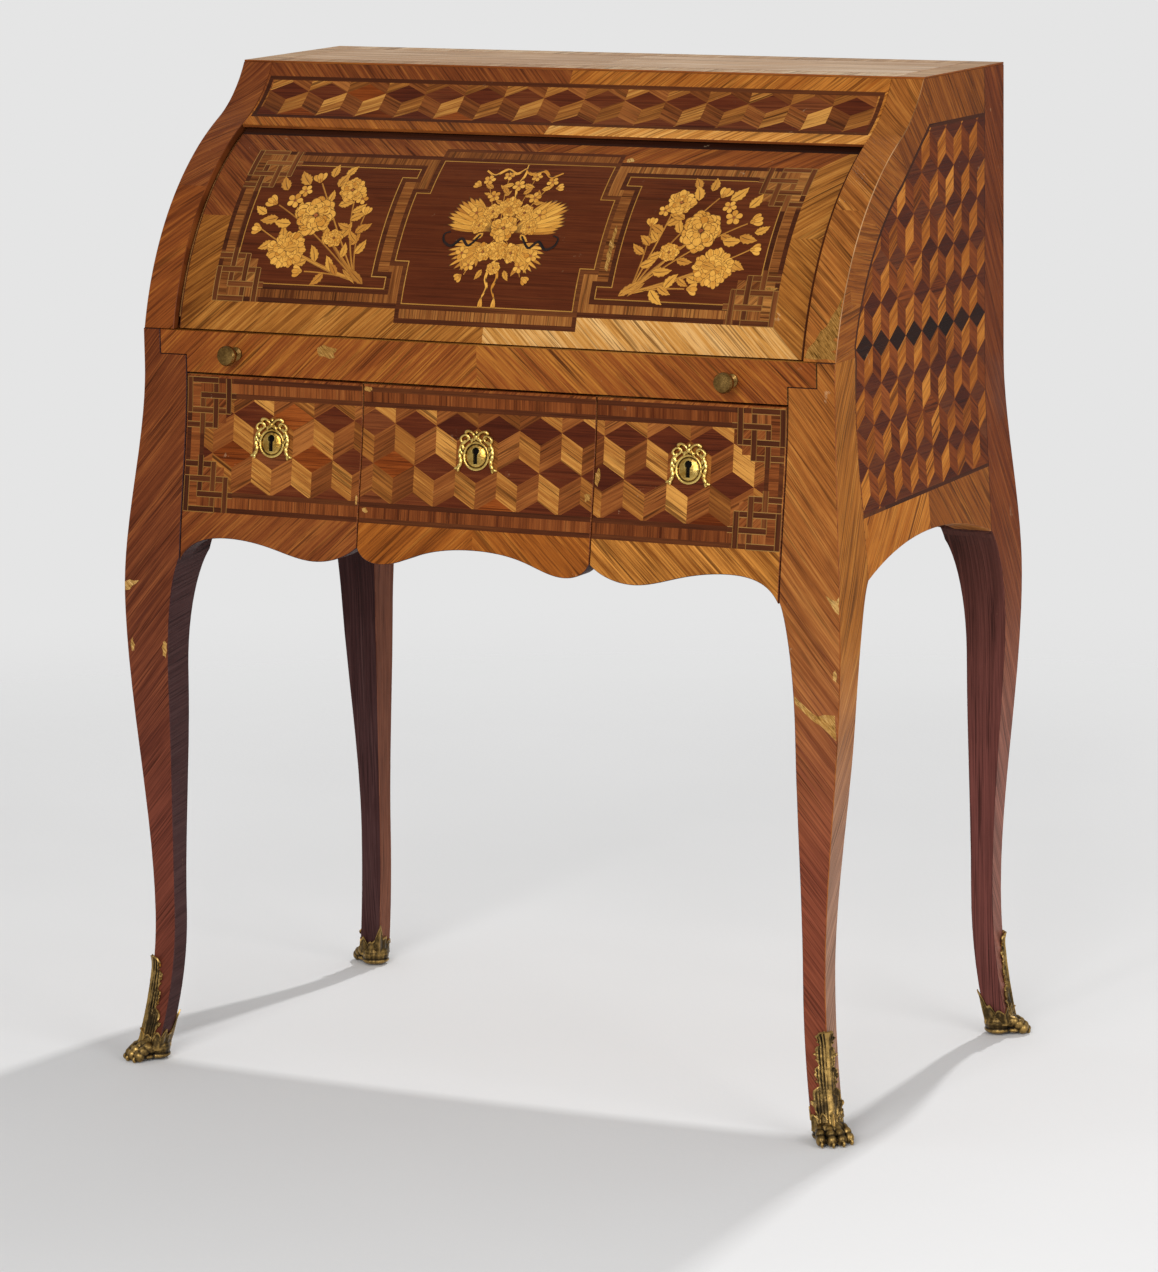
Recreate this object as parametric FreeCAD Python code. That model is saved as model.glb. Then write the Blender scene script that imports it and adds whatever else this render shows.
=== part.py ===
import FreeCAD, Part
import math
import os

# A lady's cylinder desk on four cabriole legs: a quarter-round roll over a pull-out writing
# slide, three locked drawers with a shaped apron, and a nest of pigeonholes inside.
# Millimetres, +Z up, front towards -Y. The origin is on the floor under the middle of the feet.

V = FreeCAD.Vector
RIGHT = 1
LEFT = -1

# Case
CASE_WIDTH = 740.0
CASE_HEIGHT = 974.0
FRONT_Y = -195.5
BACK_Y = 201.0
SIDE_THICK = 33.0
TOP_BOARD_THICK = 20.0
TOP_VENEER_THICK = 2.0
BACK_PANEL_THICK = 12.0
BACK_RAIL_END_DROP = 214.0
BACK_RAIL_MID_DROP = 200.0

# Roll: the curved lid, its crown under the top and its foremost line at the front
ROLL_RADIUS = 279.0
ROLL_HEADROOM = 28.0
ROLL_FRONT_GAP = 0.3
ROLL_THICK = 18.0
ROLL_TOP_ANGLE = 65.0
ROLL_OPENING = 46.0
ROLL_SIDE_GAP = 3.0
ROLL_SEAT_GAP = 0.8
EDGE_PROUD = 5.5
RUNNER_THICK = 10.0
RUNNER_REACH = 7.0
RUNNER_GAP = 0.5
RUNNER_END_ANGLE = 2.0

# Frieze: the fixed hollow-fronted panel over the roll
FRIEZE_GAP = 1.5
FRIEZE_LIP_ANGLE = 61.0
HOLLOW_START_ANGLE = 63.0
HOLLOW_RUN = 54.36

# Writing slide: heights called drops are counted down from its writing surface
SLIDE_DROP_FROM_TOP = 246.0
SLIDE_THICK = 23.0
SLIDE_TONGUE = 13.6
SLIDE_BACK_ROOM = 52.5
SLIDE_GAP = 0.5
LIP_HEIGHT = 17.0
LIP_THICK = 18.0
LEATHER_SIDE_MARGIN = 60.6
LEATHER_DEPTH = 185.0
LEATHER_THICK = 1.2
LEATHER_SETBACK = 27.0
KNOB_INSET = 104.5
KNOB_DROP = 20.0
KNOB_RADIUS = 9.8
KNOB_STEM_RADIUS = 3.4
KNOB_LENGTH = 23.0

# Knobs: shares of the stem, the head and the length at the turned steps
KNOB_FOOT_SPREAD = 1.9
KNOB_FOOT_END = 0.08
KNOB_WAIST_START = 0.16
KNOB_WAIST_END = 0.5
KNOB_NECK_SPREAD = 0.8
KNOB_NECK_END = 0.62
KNOB_RIM_START = 0.7
KNOB_RIM_END = 0.85
KNOB_FACE_SPREAD = 0.86
KNOB_FACE_START = 0.96

# Legs: stations from the straight post down to the shoe
STILE_WIDTH = 47.6
STILE_DEPTH = 44.0
BACK_STILE_DEPTH = 47.0
CURVE_TOP_DROP = 33.0
KNEE_DROP = 260.0
ANKLE_Z = 150.0
TIP_Z = 14.0
FRONT_KNEE_OUT = 25.0
FRONT_ANKLE_OUT = 18.0
FRONT_KNEE_SPREAD = 15.0
FRONT_ANKLE_SPREAD = -5.3
FRONT_KNEE_WIDTH = 47.0
FRONT_FLARE = 15.0
BACK_KNEE_OUT = 28.0
BACK_ANKLE_OUT = 16.0
BACK_KNEE_SPREAD = 8.0
BACK_ANKLE_SPREAD = -9.5
BACK_KNEE_WIDTH = 43.0
BACK_FLARE = 11.0
KNEE_DEPTH = 39.5
ANKLE_WIDTH = 23.1
ANKLE_DEPTH = 23.0
BRANCH_DROP = 220.0
BRANCH_RUN = 128.0
BRANCH_TURN = 15.0
SIDE_ARCH_END_DROP = 207.0
SIDE_ARCH_TOP_DROP = 182.0

# Shoes of gilt bronze: a lion's paw, a collar and a leaf up the corner
SHOE_WALL = 2.2
COLLAR_TOP = 36.0
LEAF_TOP = 104.0
LEAF_WIDTH = 32.0
LEAF_WAIST = 22.0
LEAF_WAIST_Z = 74.0
PAW_RADIUS = 15.0
PAW_TOP_RADIUS = 13.0
PAW_HEIGHT = 24.0
TOE_RADIUS = 6.0
TOE_REACH = 24.0
TOE_SPREAD = 13.0
TOE_LIFT = 5.0
TOE_COUNT = 4

# Drawers
DIVISION_SHARE = 0.38834
DRAWER_GAP = 1.0
FRONT_TOP_GAP = 2.0
FRONT_BACK_Y = -175.0
APRON_THICK = 22.0
APRON_STEP_DROP = 175.0
BOX_BACK_Y = 165.0
BOX_TOP_GAP = 4.0
BOX_WALL = 9.0
BOX_BOTTOM_THICK = 6.0
BOX_BOTTOM_LIFT = 4.0
BOX_RUN_GAP = 0.4

# Apron: scallops of the lower edge as shares of a front's width, each with its drop
APRON_END_DROP = 222.0
APRON_CUSP_DROP = 199.0
APRON_MID_TOP_DROP = 193.3
OUTER_SCALLOPS = [(0.07, 207.0), (0.28, 198.5), (0.53, 205.5), (0.76, 214.5), (0.9, 210.0)]
MIDDLE_SCALLOPS = [(0.94, 208.0), (0.81, 212.7), (0.46, 201.5)]

# Drawer carcass
DUST_THICK = 15.0
DUST_GAP = 1.0
FLOOR_THICK = 12.0
FLOOR_SETBACK = 24.5
PARTITION_THICK = 12.0
GUIDE_HEIGHT = 32.0

# Locks and keyhole plates
LOCK_WIDTH = 44.0
LOCK_HEIGHT = 72.0
LOCK_THICK = 11.0
BOLT_WIDTH = 12.0
BOLT_THICK = 4.0
BOLT_LENGTH = 34.0
BOLT_TRAVEL = 10.0
BOLT_GAP = 0.3
KEY_DROP = 103.0
KEY_HOLE_RADIUS = 2.8
KEY_SLOT_WIDTH = 2.6
KEY_SLOT_DROP = 9.0
PLATE_RADIUS = 13.5
PLATE_THICK = 2.5
PLATE_GAP = 0.35
BOW_RADIUS = 6.5
BOW_SPREAD = 5.6
BOW_RISE = 17.0
SWAG_RADIUS = 5.5
SWAG_REACH = 15.5
LOW_SWAG_REACH = 10.0
LOW_SWAG_DROP = 13.6

# Nest of pigeonholes
NEST_FRONT_Y = 19.0
NEST_LIFT = 1.5
NEST_FLOOR_THICK = 8.0
NEST_BOARD = 6.0
NEST_HEIGHT = 158.0
NEST_BAY_SHARE = 0.3264
SHELF_HEIGHT = 62.0
PEN_FRONT_THICK = 8.0
PEN_WALL = 6.0
PEN_BOTTOM_THICK = 4.0
PEN_DEPTH = 150.0
PEN_GAP = 0.6
PEN_KNOB_RADIUS = 6.0
PEN_KNOB_STEM_RADIUS = 2.4
PEN_KNOB_LENGTH = 11.0

# Levels and lines that follow from the sizes above
HALF = CASE_WIDTH / 2
INNER_X = HALF - SIDE_THICK
POST_X = HALF - STILE_WIDTH
DIVISION_X = POST_X * DIVISION_SHARE
KEY_X = (DIVISION_X + POST_X) / 2
KNOB_X = HALF - KNOB_INSET
NEST_BAY_X = INNER_X * NEST_BAY_SHARE
CASE_TOP = CASE_HEIGHT - TOP_VENEER_THICK
TOP_UNDERSIDE = CASE_TOP - TOP_BOARD_THICK
SLIDE_TOP = CASE_HEIGHT - SLIDE_DROP_FROM_TOP
ROLL_Y = FRONT_Y + ROLL_FRONT_GAP + ROLL_RADIUS
ROLL_Z = CASE_HEIGHT - ROLL_HEADROOM - ROLL_RADIUS
CURVE_TOP_Z = SLIDE_TOP - CURVE_TOP_DROP
KNEE_Z = SLIDE_TOP - KNEE_DROP
BRANCH_Z = SLIDE_TOP - BRANCH_DROP
SIDE_ARCH_END_Z = SLIDE_TOP - SIDE_ARCH_END_DROP
SIDE_ARCH_TOP_Z = SLIDE_TOP - SIDE_ARCH_TOP_DROP
BACK_RAIL_END_Z = SLIDE_TOP - BACK_RAIL_END_DROP
BACK_RAIL_MID_Z = SLIDE_TOP - BACK_RAIL_MID_DROP
APRON_STEP_Z = SLIDE_TOP - APRON_STEP_DROP
APRON_END_Z = SLIDE_TOP - APRON_END_DROP
APRON_CUSP_Z = SLIDE_TOP - APRON_CUSP_DROP
APRON_MID_TOP_Z = SLIDE_TOP - APRON_MID_TOP_DROP
KEY_Z = SLIDE_TOP - KEY_DROP
NEST_TOP_Z = SLIDE_TOP + NEST_HEIGHT
SHELF_Z = SLIDE_TOP + SHELF_HEIGHT
BACK_INNER_Y = BACK_Y - BACK_PANEL_THICK
SLIDE_DEPTH = BACK_INNER_Y - SLIDE_BACK_ROOM - FRONT_Y
EDGE_RADIUS = ROLL_RADIUS + EDGE_PROUD
TOP_FRONT_Y = ROLL_Y - EDGE_RADIUS * math.cos(math.radians(HOLLOW_START_ANGLE)) + HOLLOW_RUN
ROLL_INNER = ROLL_RADIUS - ROLL_THICK
SLIDE_BOTTOM = SLIDE_TOP - SLIDE_THICK
SLIDE_HALF = INNER_X + SLIDE_TONGUE
LEATHER_HALF = SLIDE_HALF - LEATHER_SIDE_MARGIN
GROOVE_X = SLIDE_HALF + SLIDE_GAP * 2
GROOVE_TOP = SLIDE_TOP + SLIDE_GAP
GROOVE_BOTTOM = SLIDE_BOTTOM - SLIDE_GAP
LIP_BOTTOM = SLIDE_BOTTOM - LIP_HEIGHT
DUST_TOP = SLIDE_BOTTOM - DUST_GAP
DUST_BOTTOM = DUST_TOP - DUST_THICK
DRAWER_FRONT_TOP = LIP_BOTTOM - FRONT_TOP_GAP
BOX_TOP = DRAWER_FRONT_TOP - BOX_TOP_GAP
FLOOR_BOTTOM = SIDE_ARCH_TOP_Z
FLOOR_TOP = FLOOR_BOTTOM + FLOOR_THICK
FLOOR_FRONT_Y = FRONT_Y + FLOOR_SETBACK
FRONT_POST_Y = FRONT_Y + STILE_DEPTH
BACK_POST_Y = BACK_Y - BACK_STILE_DEPTH
NEST_FLOOR_Z = SLIDE_TOP + NEST_LIFT
NEST_DECK = NEST_FLOOR_Z + NEST_FLOOR_THICK
FAR = 100.0


def box(low, high):
    """Block between two opposite corners."""
    size = [b - a for a, b in zip(low, high)]
    return Part.makeBox(size[0], size[1], size[2], V(*low))


def mirrored(shape):
    """The same piece for the other hand."""
    return shape.mirror(V(0, 0, 0), V(1, 0, 0))


class Outline:
    """Closed outline in the plane that faces along X or Y, pushed along that axis."""

    def __init__(self, facing, start):
        self.facing = facing
        self.first = start
        self.last = start
        self.edges = []

    def place(self, point):
        if self.facing == "X":
            return V(0, point[0], point[1])
        return V(point[0], 0, point[1])

    def line(self, *points):
        for point in points:
            self.edges.append(Part.LineSegment(self.place(self.last), self.place(point)).toShape())
            self.last = point
        return self

    def arc(self, middle, end):
        arc = Part.Arc(self.place(self.last), self.place(middle), self.place(end))
        self.edges.append(arc.toShape())
        self.last = end
        return self

    def sweep(self, *poles):
        curve = Part.BezierCurve()
        curve.setPoles([self.place(p) for p in (self.last,) + poles])
        self.edges.append(curve.toShape())
        self.last = poles[-1]
        return self

    def ease(self, end):
        """S-bend that leaves and arrives upright."""
        third = (end[1] - self.last[1]) / 3
        return self.sweep((self.last[0], self.last[1] + third), (end[0], end[1] - third), end)

    def spline(self, *points):
        curve = Part.BSplineCurve()
        curve.interpolate([self.place(p) for p in (self.last,) + points])
        self.edges.append(curve.toShape())
        self.last = points[-1]
        return self

    def solid(self, low, high):
        if self.place(self.last).distanceToPoint(self.place(self.first)) > 1e-6:
            self.line(self.first)
        axis = V(1, 0, 0) if self.facing == "X" else V(0, 1, 0)
        face = Part.Face(Part.Wire(self.edges))
        face.translate(axis * low)
        return face.extrude(axis * (high - low))


def on_roll(radius, angle):
    """Point in (y, z) at a radius about the roll's centre, the angle counted up from the front."""
    turn = math.radians(angle)
    return (ROLL_Y - radius * math.cos(turn), ROLL_Z + radius * math.sin(turn))


def angle_at(radius, height):
    """Angle at which a circle about the roll's centre reaches a height."""
    return math.degrees(math.asin((height - ROLL_Z) / radius))


def hollow_middle():
    """Middle of the hollow arc that runs from the round edge up to the front of the top."""
    start = on_roll(EDGE_RADIUS, HOLLOW_START_ANGLE)
    run = (TOP_FRONT_Y - start[0], CASE_HEIGHT - start[1])
    chord = math.hypot(run[0], run[1])
    heading = math.atan2(run[0], run[1])
    half_turn = math.radians(HOLLOW_START_ANGLE) - heading
    sag = chord / 2 * math.tan(half_turn / 2)
    across = (math.cos(heading), -math.sin(heading))
    return (start[0] + run[0] / 2 + across[0] * sag, start[1] + run[1] / 2 + across[1] * sag)


def edge_curve(outline):
    """Draws the case's front edge downwards from the top: hollow arc, then round arc."""
    bottom = angle_at(EDGE_RADIUS, GROOVE_TOP)
    middle = (HOLLOW_START_ANGLE + bottom) / 2
    outline.arc(hollow_middle(), on_roll(EDGE_RADIUS, HOLLOW_START_ANGLE))
    outline.arc(on_roll(EDGE_RADIUS, middle), on_roll(EDGE_RADIUS, bottom))
    return outline


def sector(inner, outer, start, end, low_x, high_x):
    """Length of a curved board about the roll's centre."""
    middle = (start + end) / 2
    outline = Outline("X", on_roll(outer, start))
    outline.arc(on_roll(outer, middle), on_roll(outer, end)).line(on_roll(inner, end))
    outline.arc(on_roll(inner, middle), on_roll(inner, start))
    return outline.solid(low_x, high_x)


def runner_groove():
    """Curved groove in the right side and back post for the roll's runner."""
    inner = ROLL_INNER + (ROLL_THICK - RUNNER_THICK) / 2 - RUNNER_GAP
    outer = inner + RUNNER_THICK + RUNNER_GAP * 2
    start = angle_at(inner, GROOVE_TOP)
    end = ROLL_TOP_ANGLE + ROLL_OPENING + RUNNER_END_ANGLE
    return sector(inner, outer, start, end, INNER_X, INNER_X + RUNNER_REACH + RUNNER_GAP * 2)


def slide_groove():
    """Groove in the right side and front post for the edge of the writing slide."""
    back = FRONT_Y + SLIDE_DEPTH + SLIDE_GAP * 4
    return box((POST_X - FAR, FRONT_Y - FAR, GROOVE_BOTTOM), (GROOVE_X, back, GROOVE_TOP))


class Stance:
    """How far a leg's knee and ankle stand out from the case, forwards or backwards and sideways."""

    def __init__(self, front):
        self.way = -1 if front else 1
        self.plane = -FRONT_Y if front else BACK_Y
        self.knee_out = FRONT_KNEE_OUT if front else BACK_KNEE_OUT
        self.ankle_out = FRONT_ANKLE_OUT if front else BACK_ANKLE_OUT
        self.knee_spread = FRONT_KNEE_SPREAD if front else BACK_KNEE_SPREAD
        self.ankle_spread = FRONT_ANKLE_SPREAD if front else BACK_ANKLE_SPREAD
        self.knee_width = FRONT_KNEE_WIDTH if front else BACK_KNEE_WIDTH
        self.flare = FRONT_FLARE if front else BACK_FLARE
        self.post_depth = STILE_DEPTH if front else BACK_STILE_DEPTH


def bulge(outline, plane, knee_out, ankle_out, way):
    """Draws the outer line of the case and leg downwards from the straight part to the knee and ankle."""
    outline.line((way * plane, CURVE_TOP_Z))
    outline.ease((way * (plane + knee_out), KNEE_Z))
    return outline.ease((way * (plane + ankle_out), ANKLE_Z))


def leg_outline(outline, way, outer, knee, ankle, branch, post):
    """Draws one face of a leg: down its outer line, across the tip and up its inner line to the post."""
    bend_z = (ANKLE_Z + TIP_Z) / 2
    plane, knee_out, ankle_out, flare = outer
    bulge(outline, plane, knee_out, ankle_out, way)
    tip = plane + ankle_out + flare
    outline.sweep((way * (plane + ankle_out), bend_z), (way * tip, TIP_Z))
    outline.line((way * (ankle + flare), TIP_Z))
    outline.sweep((way * ankle, bend_z), (way * ankle, ANKLE_Z))
    branch_end = branch - BRANCH_RUN
    outline.ease((way * knee, branch_end))
    outline.sweep((way * knee, (branch + branch_end) / 2), (way * (post + knee) / 2, branch - BRANCH_TURN),
                  (way * post, branch))
    return outline


def leg(front, grow=0.0):
    """Right-hand leg with its post, sawn to shape from the front and from the side.

    grow thickens the leg all round, for what is fitted over it."""
    stance = Stance(front)
    top = GROOVE_TOP if front else CASE_TOP
    face = Outline("Y", (HALF + grow, top))
    knee_x = HALF + stance.knee_spread - stance.knee_width - grow
    ankle_x = HALF + stance.ankle_spread - ANKLE_WIDTH - grow
    outer = (HALF + grow, stance.knee_spread, stance.ankle_spread, stance.flare)
    leg_outline(face, 1, outer, knee_x, ankle_x, BRANCH_Z, POST_X - grow)
    if front:
        face.line((POST_X - grow, top))
    else:
        face.line((POST_X - grow, FLOOR_BOTTOM), (INNER_X - grow, FLOOR_BOTTOM), (INNER_X - grow, top))
    side = Outline("X", (stance.way * (stance.plane + grow), top))
    post_y = stance.plane - stance.post_depth - grow
    knee_y = stance.plane + stance.knee_out - KNEE_DEPTH - grow
    ankle_y = stance.plane + stance.ankle_out - ANKLE_DEPTH - grow
    outer = (stance.plane + grow, stance.knee_out, stance.ankle_out, stance.flare)
    leg_outline(side, stance.way, outer, knee_y, ankle_y, SIDE_ARCH_END_Z, post_y)
    side.line((stance.way * post_y, top))
    sawn_front = face.solid(-CASE_WIDTH, CASE_WIDTH)
    sawn_side = side.solid(POST_X - FAR, HALF + FAR)
    return sawn_front.common(sawn_side)


def shoe(front, wood):
    """Bronze shoe for a right-hand leg: paw, collar and corner leaf, bored out for the leg."""
    stance = Stance(front)
    tip_x = HALF + stance.ankle_spread + stance.flare - ANKLE_WIDTH / 2
    tip_y = stance.plane + stance.ankle_out + stance.flare - ANKLE_DEPTH / 2
    centre = V(tip_x, stance.way * tip_y, 0)
    out = V(1, stance.way, 0).normalize()
    along = V(-stance.way, 1, 0).normalize()
    cover = leg(front, SHOE_WALL)
    form = Part.makeCone(PAW_RADIUS, PAW_TOP_RADIUS, PAW_HEIGHT, centre)
    for toe in range(TOE_COUNT):
        turn = (toe - (TOE_COUNT - 1) / 2) * TOE_SPREAD
        point = FreeCAD.Rotation(V(0, 0, 1), turn).multVec(out * TOE_REACH)
        middle = centre + V(0, 0, TOE_LIFT)
        knuckle = Part.makeCylinder(TOE_RADIUS, TOE_REACH, middle, point)
        form = form.fuse([knuckle, Part.makeSphere(TOE_RADIUS, middle + point)])
    around = CASE_WIDTH
    collar = cover.common(box((0, -around, 0), (around, around, COLLAR_TOP)))
    start = centre + V(0, 0, TIP_Z)
    half = along * (LEAF_WIDTH / 2)
    waist = along * (LEAF_WAIST / 2)
    middle = V(0, 0, LEAF_WAIST_Z - TIP_Z)
    tall = V(0, 0, LEAF_TOP - TIP_Z)
    corners = [start - half, start + half, start + waist + middle, start + tall, start - waist + middle,
               start - half]
    leaf = Part.Face(Part.makePolygon(corners)).extrude(out * FAR)
    form = form.fuse([collar, cover.common(leaf)])
    form = form.common(box((0, -around, 0), (around, around, LEAF_TOP)))
    return form.cut(wood).removeSplitter()


def side_section(front):
    """Cross-section of the right side where it meets a post, straight above and bowed below."""
    stance = Stance(front)
    section = Outline("Y", (HALF, CASE_TOP)).line((HALF, CURVE_TOP_Z))
    section.ease((HALF + stance.knee_spread, KNEE_Z))
    section.line((INNER_X, KNEE_Z), (INNER_X, CASE_TOP), (HALF, CASE_TOP))
    wire = Part.Wire(section.edges)
    wire.translate(V(0, FRONT_POST_Y if front else BACK_POST_Y, 0))
    return wire


def side_board():
    """Right side of the case with its S-shaped front edge, arched foot and bowed lower face."""
    middle_y = (FRONT_POST_Y + BACK_POST_Y) / 2
    profile = Outline("X", (BACK_POST_Y, SIDE_ARCH_END_Z))
    profile.line((BACK_POST_Y, CASE_HEIGHT), (TOP_FRONT_Y, CASE_HEIGHT))
    edge_curve(profile)
    profile.line((FRONT_POST_Y, GROOVE_TOP), (FRONT_POST_Y, SIDE_ARCH_END_Z))
    profile.arc((middle_y, SIDE_ARCH_TOP_Z), (BACK_POST_Y, SIDE_ARCH_END_Z))
    board = Part.makeLoft([side_section(True), side_section(False)], True, True)
    board = board.fuse(box((INNER_X, FRONT_Y - FAR, GROOVE_TOP), (HALF, FRONT_POST_Y, CASE_TOP)))
    board = board.common(profile.solid(INNER_X, HALF + FAR)).removeSplitter()
    return board.cut([slide_groove(), runner_groove()])


def frieze_panel():
    """Hollow-fronted panel between the sides, thinned to a lip over the roll."""
    inner = ROLL_RADIUS + FRIEZE_GAP
    end = math.degrees(math.acos((ROLL_Y - TOP_FRONT_Y) / inner))
    profile = Outline("X", on_roll(inner, end))
    profile.line((TOP_FRONT_Y, CASE_HEIGHT))
    profile.arc(hollow_middle(), on_roll(EDGE_RADIUS, HOLLOW_START_ANGLE))
    profile.arc(on_roll(EDGE_RADIUS, (HOLLOW_START_ANGLE + FRIEZE_LIP_ANGLE) / 2),
                on_roll(EDGE_RADIUS, FRIEZE_LIP_ANGLE))
    profile.line(on_roll(inner, FRIEZE_LIP_ANGLE))
    profile.arc(on_roll(inner, (FRIEZE_LIP_ANGLE + end) / 2), on_roll(inner, end))
    panel = profile.solid(-INNER_X, INNER_X)
    return panel.common(box((-HALF, -CASE_WIDTH, 0), (HALF, CASE_WIDTH, CASE_TOP)))


def roll():
    """Curved lid, its lower edge cut level over the writing slide."""
    wide = INNER_X - ROLL_SIDE_GAP
    seat = SLIDE_TOP + ROLL_SEAT_GAP
    start = angle_at(ROLL_RADIUS, SLIDE_BOTTOM)
    lid = sector(ROLL_INNER, ROLL_RADIUS, start, ROLL_TOP_ANGLE, -wide, wide)
    return lid.common(box((-HALF, -CASE_WIDTH, seat), (HALF, CASE_WIDTH, CASE_HEIGHT)))


def roll_runners():
    """Curved strips on the ends of the lid that run in the sides' grooves."""
    inner = ROLL_INNER + (ROLL_THICK - RUNNER_THICK) / 2
    start = angle_at(inner, SLIDE_TOP) + RUNNER_END_ANGLE
    end = ROLL_TOP_ANGLE - RUNNER_END_ANGLE
    low = INNER_X - ROLL_SIDE_GAP
    strip = sector(inner, inner + RUNNER_THICK, start, end, low, INNER_X + RUNNER_REACH)
    return Part.makeCompound([strip, mirrored(strip)])


def turned(profile, seat):
    """Piece turned from (radius, height) points, standing out towards the front from its seat."""
    points = [V(r, 0, h) for r, h in profile]
    points.append(points[0])
    body = Part.Face(Part.makePolygon(points)).revolve(V(0, 0, 0), V(0, 0, 1), 360)
    body.rotate(V(0, 0, 0), V(1, 0, 0), 90)
    body.translate(seat)
    return body


def knob(radius, stem, length, seat):
    """Turned brass knob with a foot ring, a waist and a flat ringed head."""
    foot = stem * KNOB_FOOT_SPREAD
    profile = [(0, 0), (foot, 0), (foot, length * KNOB_FOOT_END), (stem, length * KNOB_WAIST_START),
               (stem, length * KNOB_WAIST_END), (radius * KNOB_NECK_SPREAD, length * KNOB_NECK_END),
               (radius, length * KNOB_RIM_START), (radius, length * KNOB_RIM_END),
               (radius * KNOB_FACE_SPREAD, length * KNOB_FACE_START), (0, length)]
    return turned(profile, seat)


def front_line(shift, top, bottom):
    """Outline of a slab that follows the bowed front, shift being its depth behind the front."""
    outline = Outline("X", (FRONT_Y + shift, top))
    bulge(outline, -FRONT_Y - shift, FRONT_KNEE_OUT, FRONT_ANKLE_OUT, -1)
    return outline.line((bottom, ANKLE_Z), (bottom, top))


def apron_edge(outline, low_x, high_x):
    """Draws the scalloped lower edge of one drawer front from low_x to high_x."""
    reach = high_x - low_x
    if high_x < 0:
        points = [(low_x + reach * share, SLIDE_TOP - drop) for share, drop in OUTER_SCALLOPS]
    else:
        points = [(low_x * share, SLIDE_TOP - drop) for share, drop in MIDDLE_SCALLOPS]
        points.append((0, APRON_MID_TOP_Z))
        points += [(high_x * share, SLIDE_TOP - drop) for share, drop in reversed(MIDDLE_SCALLOPS)]
    points.append((high_x, APRON_CUSP_Z))
    return outline.spline(*points)


def keyhole():
    """Round hole and slot for the key, along the front-to-back line through the origin."""
    reach = FAR
    round_hole = Part.makeCylinder(KEY_HOLE_RADIUS, reach, V(0, -reach / 2, 0), V(0, 1, 0))
    half = KEY_SLOT_WIDTH / 2
    return round_hole.fuse(box((-half, -reach / 2, -KEY_SLOT_DROP), (half, reach / 2, 0)))


def drawer_front(low_x, high_x, key_x):
    """Bowed front with its share of the scalloped apron, flat behind where the box is joined on."""
    slab = front_line(0, DRAWER_FRONT_TOP, FRONT_BACK_Y).solid(low_x, high_x)
    hollow = front_line(APRON_THICK, DRAWER_FRONT_TOP, FAR).solid(low_x, high_x)
    hollow = hollow.common(box((-HALF, -CASE_WIDTH, 0), (HALF, CASE_WIDTH, APRON_STEP_Z)))
    left_end = APRON_END_Z if high_x < 0 else APRON_CUSP_Z
    shape = Outline("Y", (low_x, left_end))
    apron_edge(shape, low_x, high_x)
    shape.line((high_x, DRAWER_FRONT_TOP), (low_x, DRAWER_FRONT_TOP))
    front = slab.cut(hollow).common(shape.solid(-CASE_WIDTH, CASE_WIDTH))
    hole = keyhole()
    hole.translate(V(key_x, FRONT_Y, KEY_Z))
    return front.cut(hole)


def front_bow(height):
    """Depth of the bowed front at a height, and how far it leans there in degrees."""
    fall = CURVE_TOP_Z - KNEE_Z
    share = (CURVE_TOP_Z - height) / fall
    depth = FRONT_Y - FRONT_KNEE_OUT * share ** 2 * (3 - 2 * share)
    lean = FRONT_KNEE_OUT / fall * 6 * share * (1 - share)
    return depth, math.degrees(math.atan(lean))


def key_plate(key_x):
    """Pierced plate of gilt bronze: round boss, bow above and swags at the sides and foot."""
    spots = [(0, 0, PLATE_RADIUS), (0, -BOW_RISE, SWAG_RADIUS)]
    for hand in (LEFT, RIGHT):
        spots.append((hand * BOW_SPREAD, BOW_RISE, BOW_RADIUS))
        spots.append((hand * SWAG_REACH, -SWAG_RADIUS, SWAG_RADIUS))
        spots.append((hand * LOW_SWAG_REACH, -LOW_SWAG_DROP, SWAG_RADIUS))
    discs = [Part.makeCylinder(r, PLATE_THICK, V(x, 0, z), V(0, -1, 0)) for x, z, r in spots]
    plate = discs[0].fuse(discs[1:]).cut(keyhole()).removeSplitter()
    depth, lean = front_bow(KEY_Z)
    plate.rotate(V(0, 0, 0), V(1, 0, 0), -lean)
    plate.translate(V(key_x, depth - PLATE_GAP, KEY_Z))
    return plate


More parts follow.
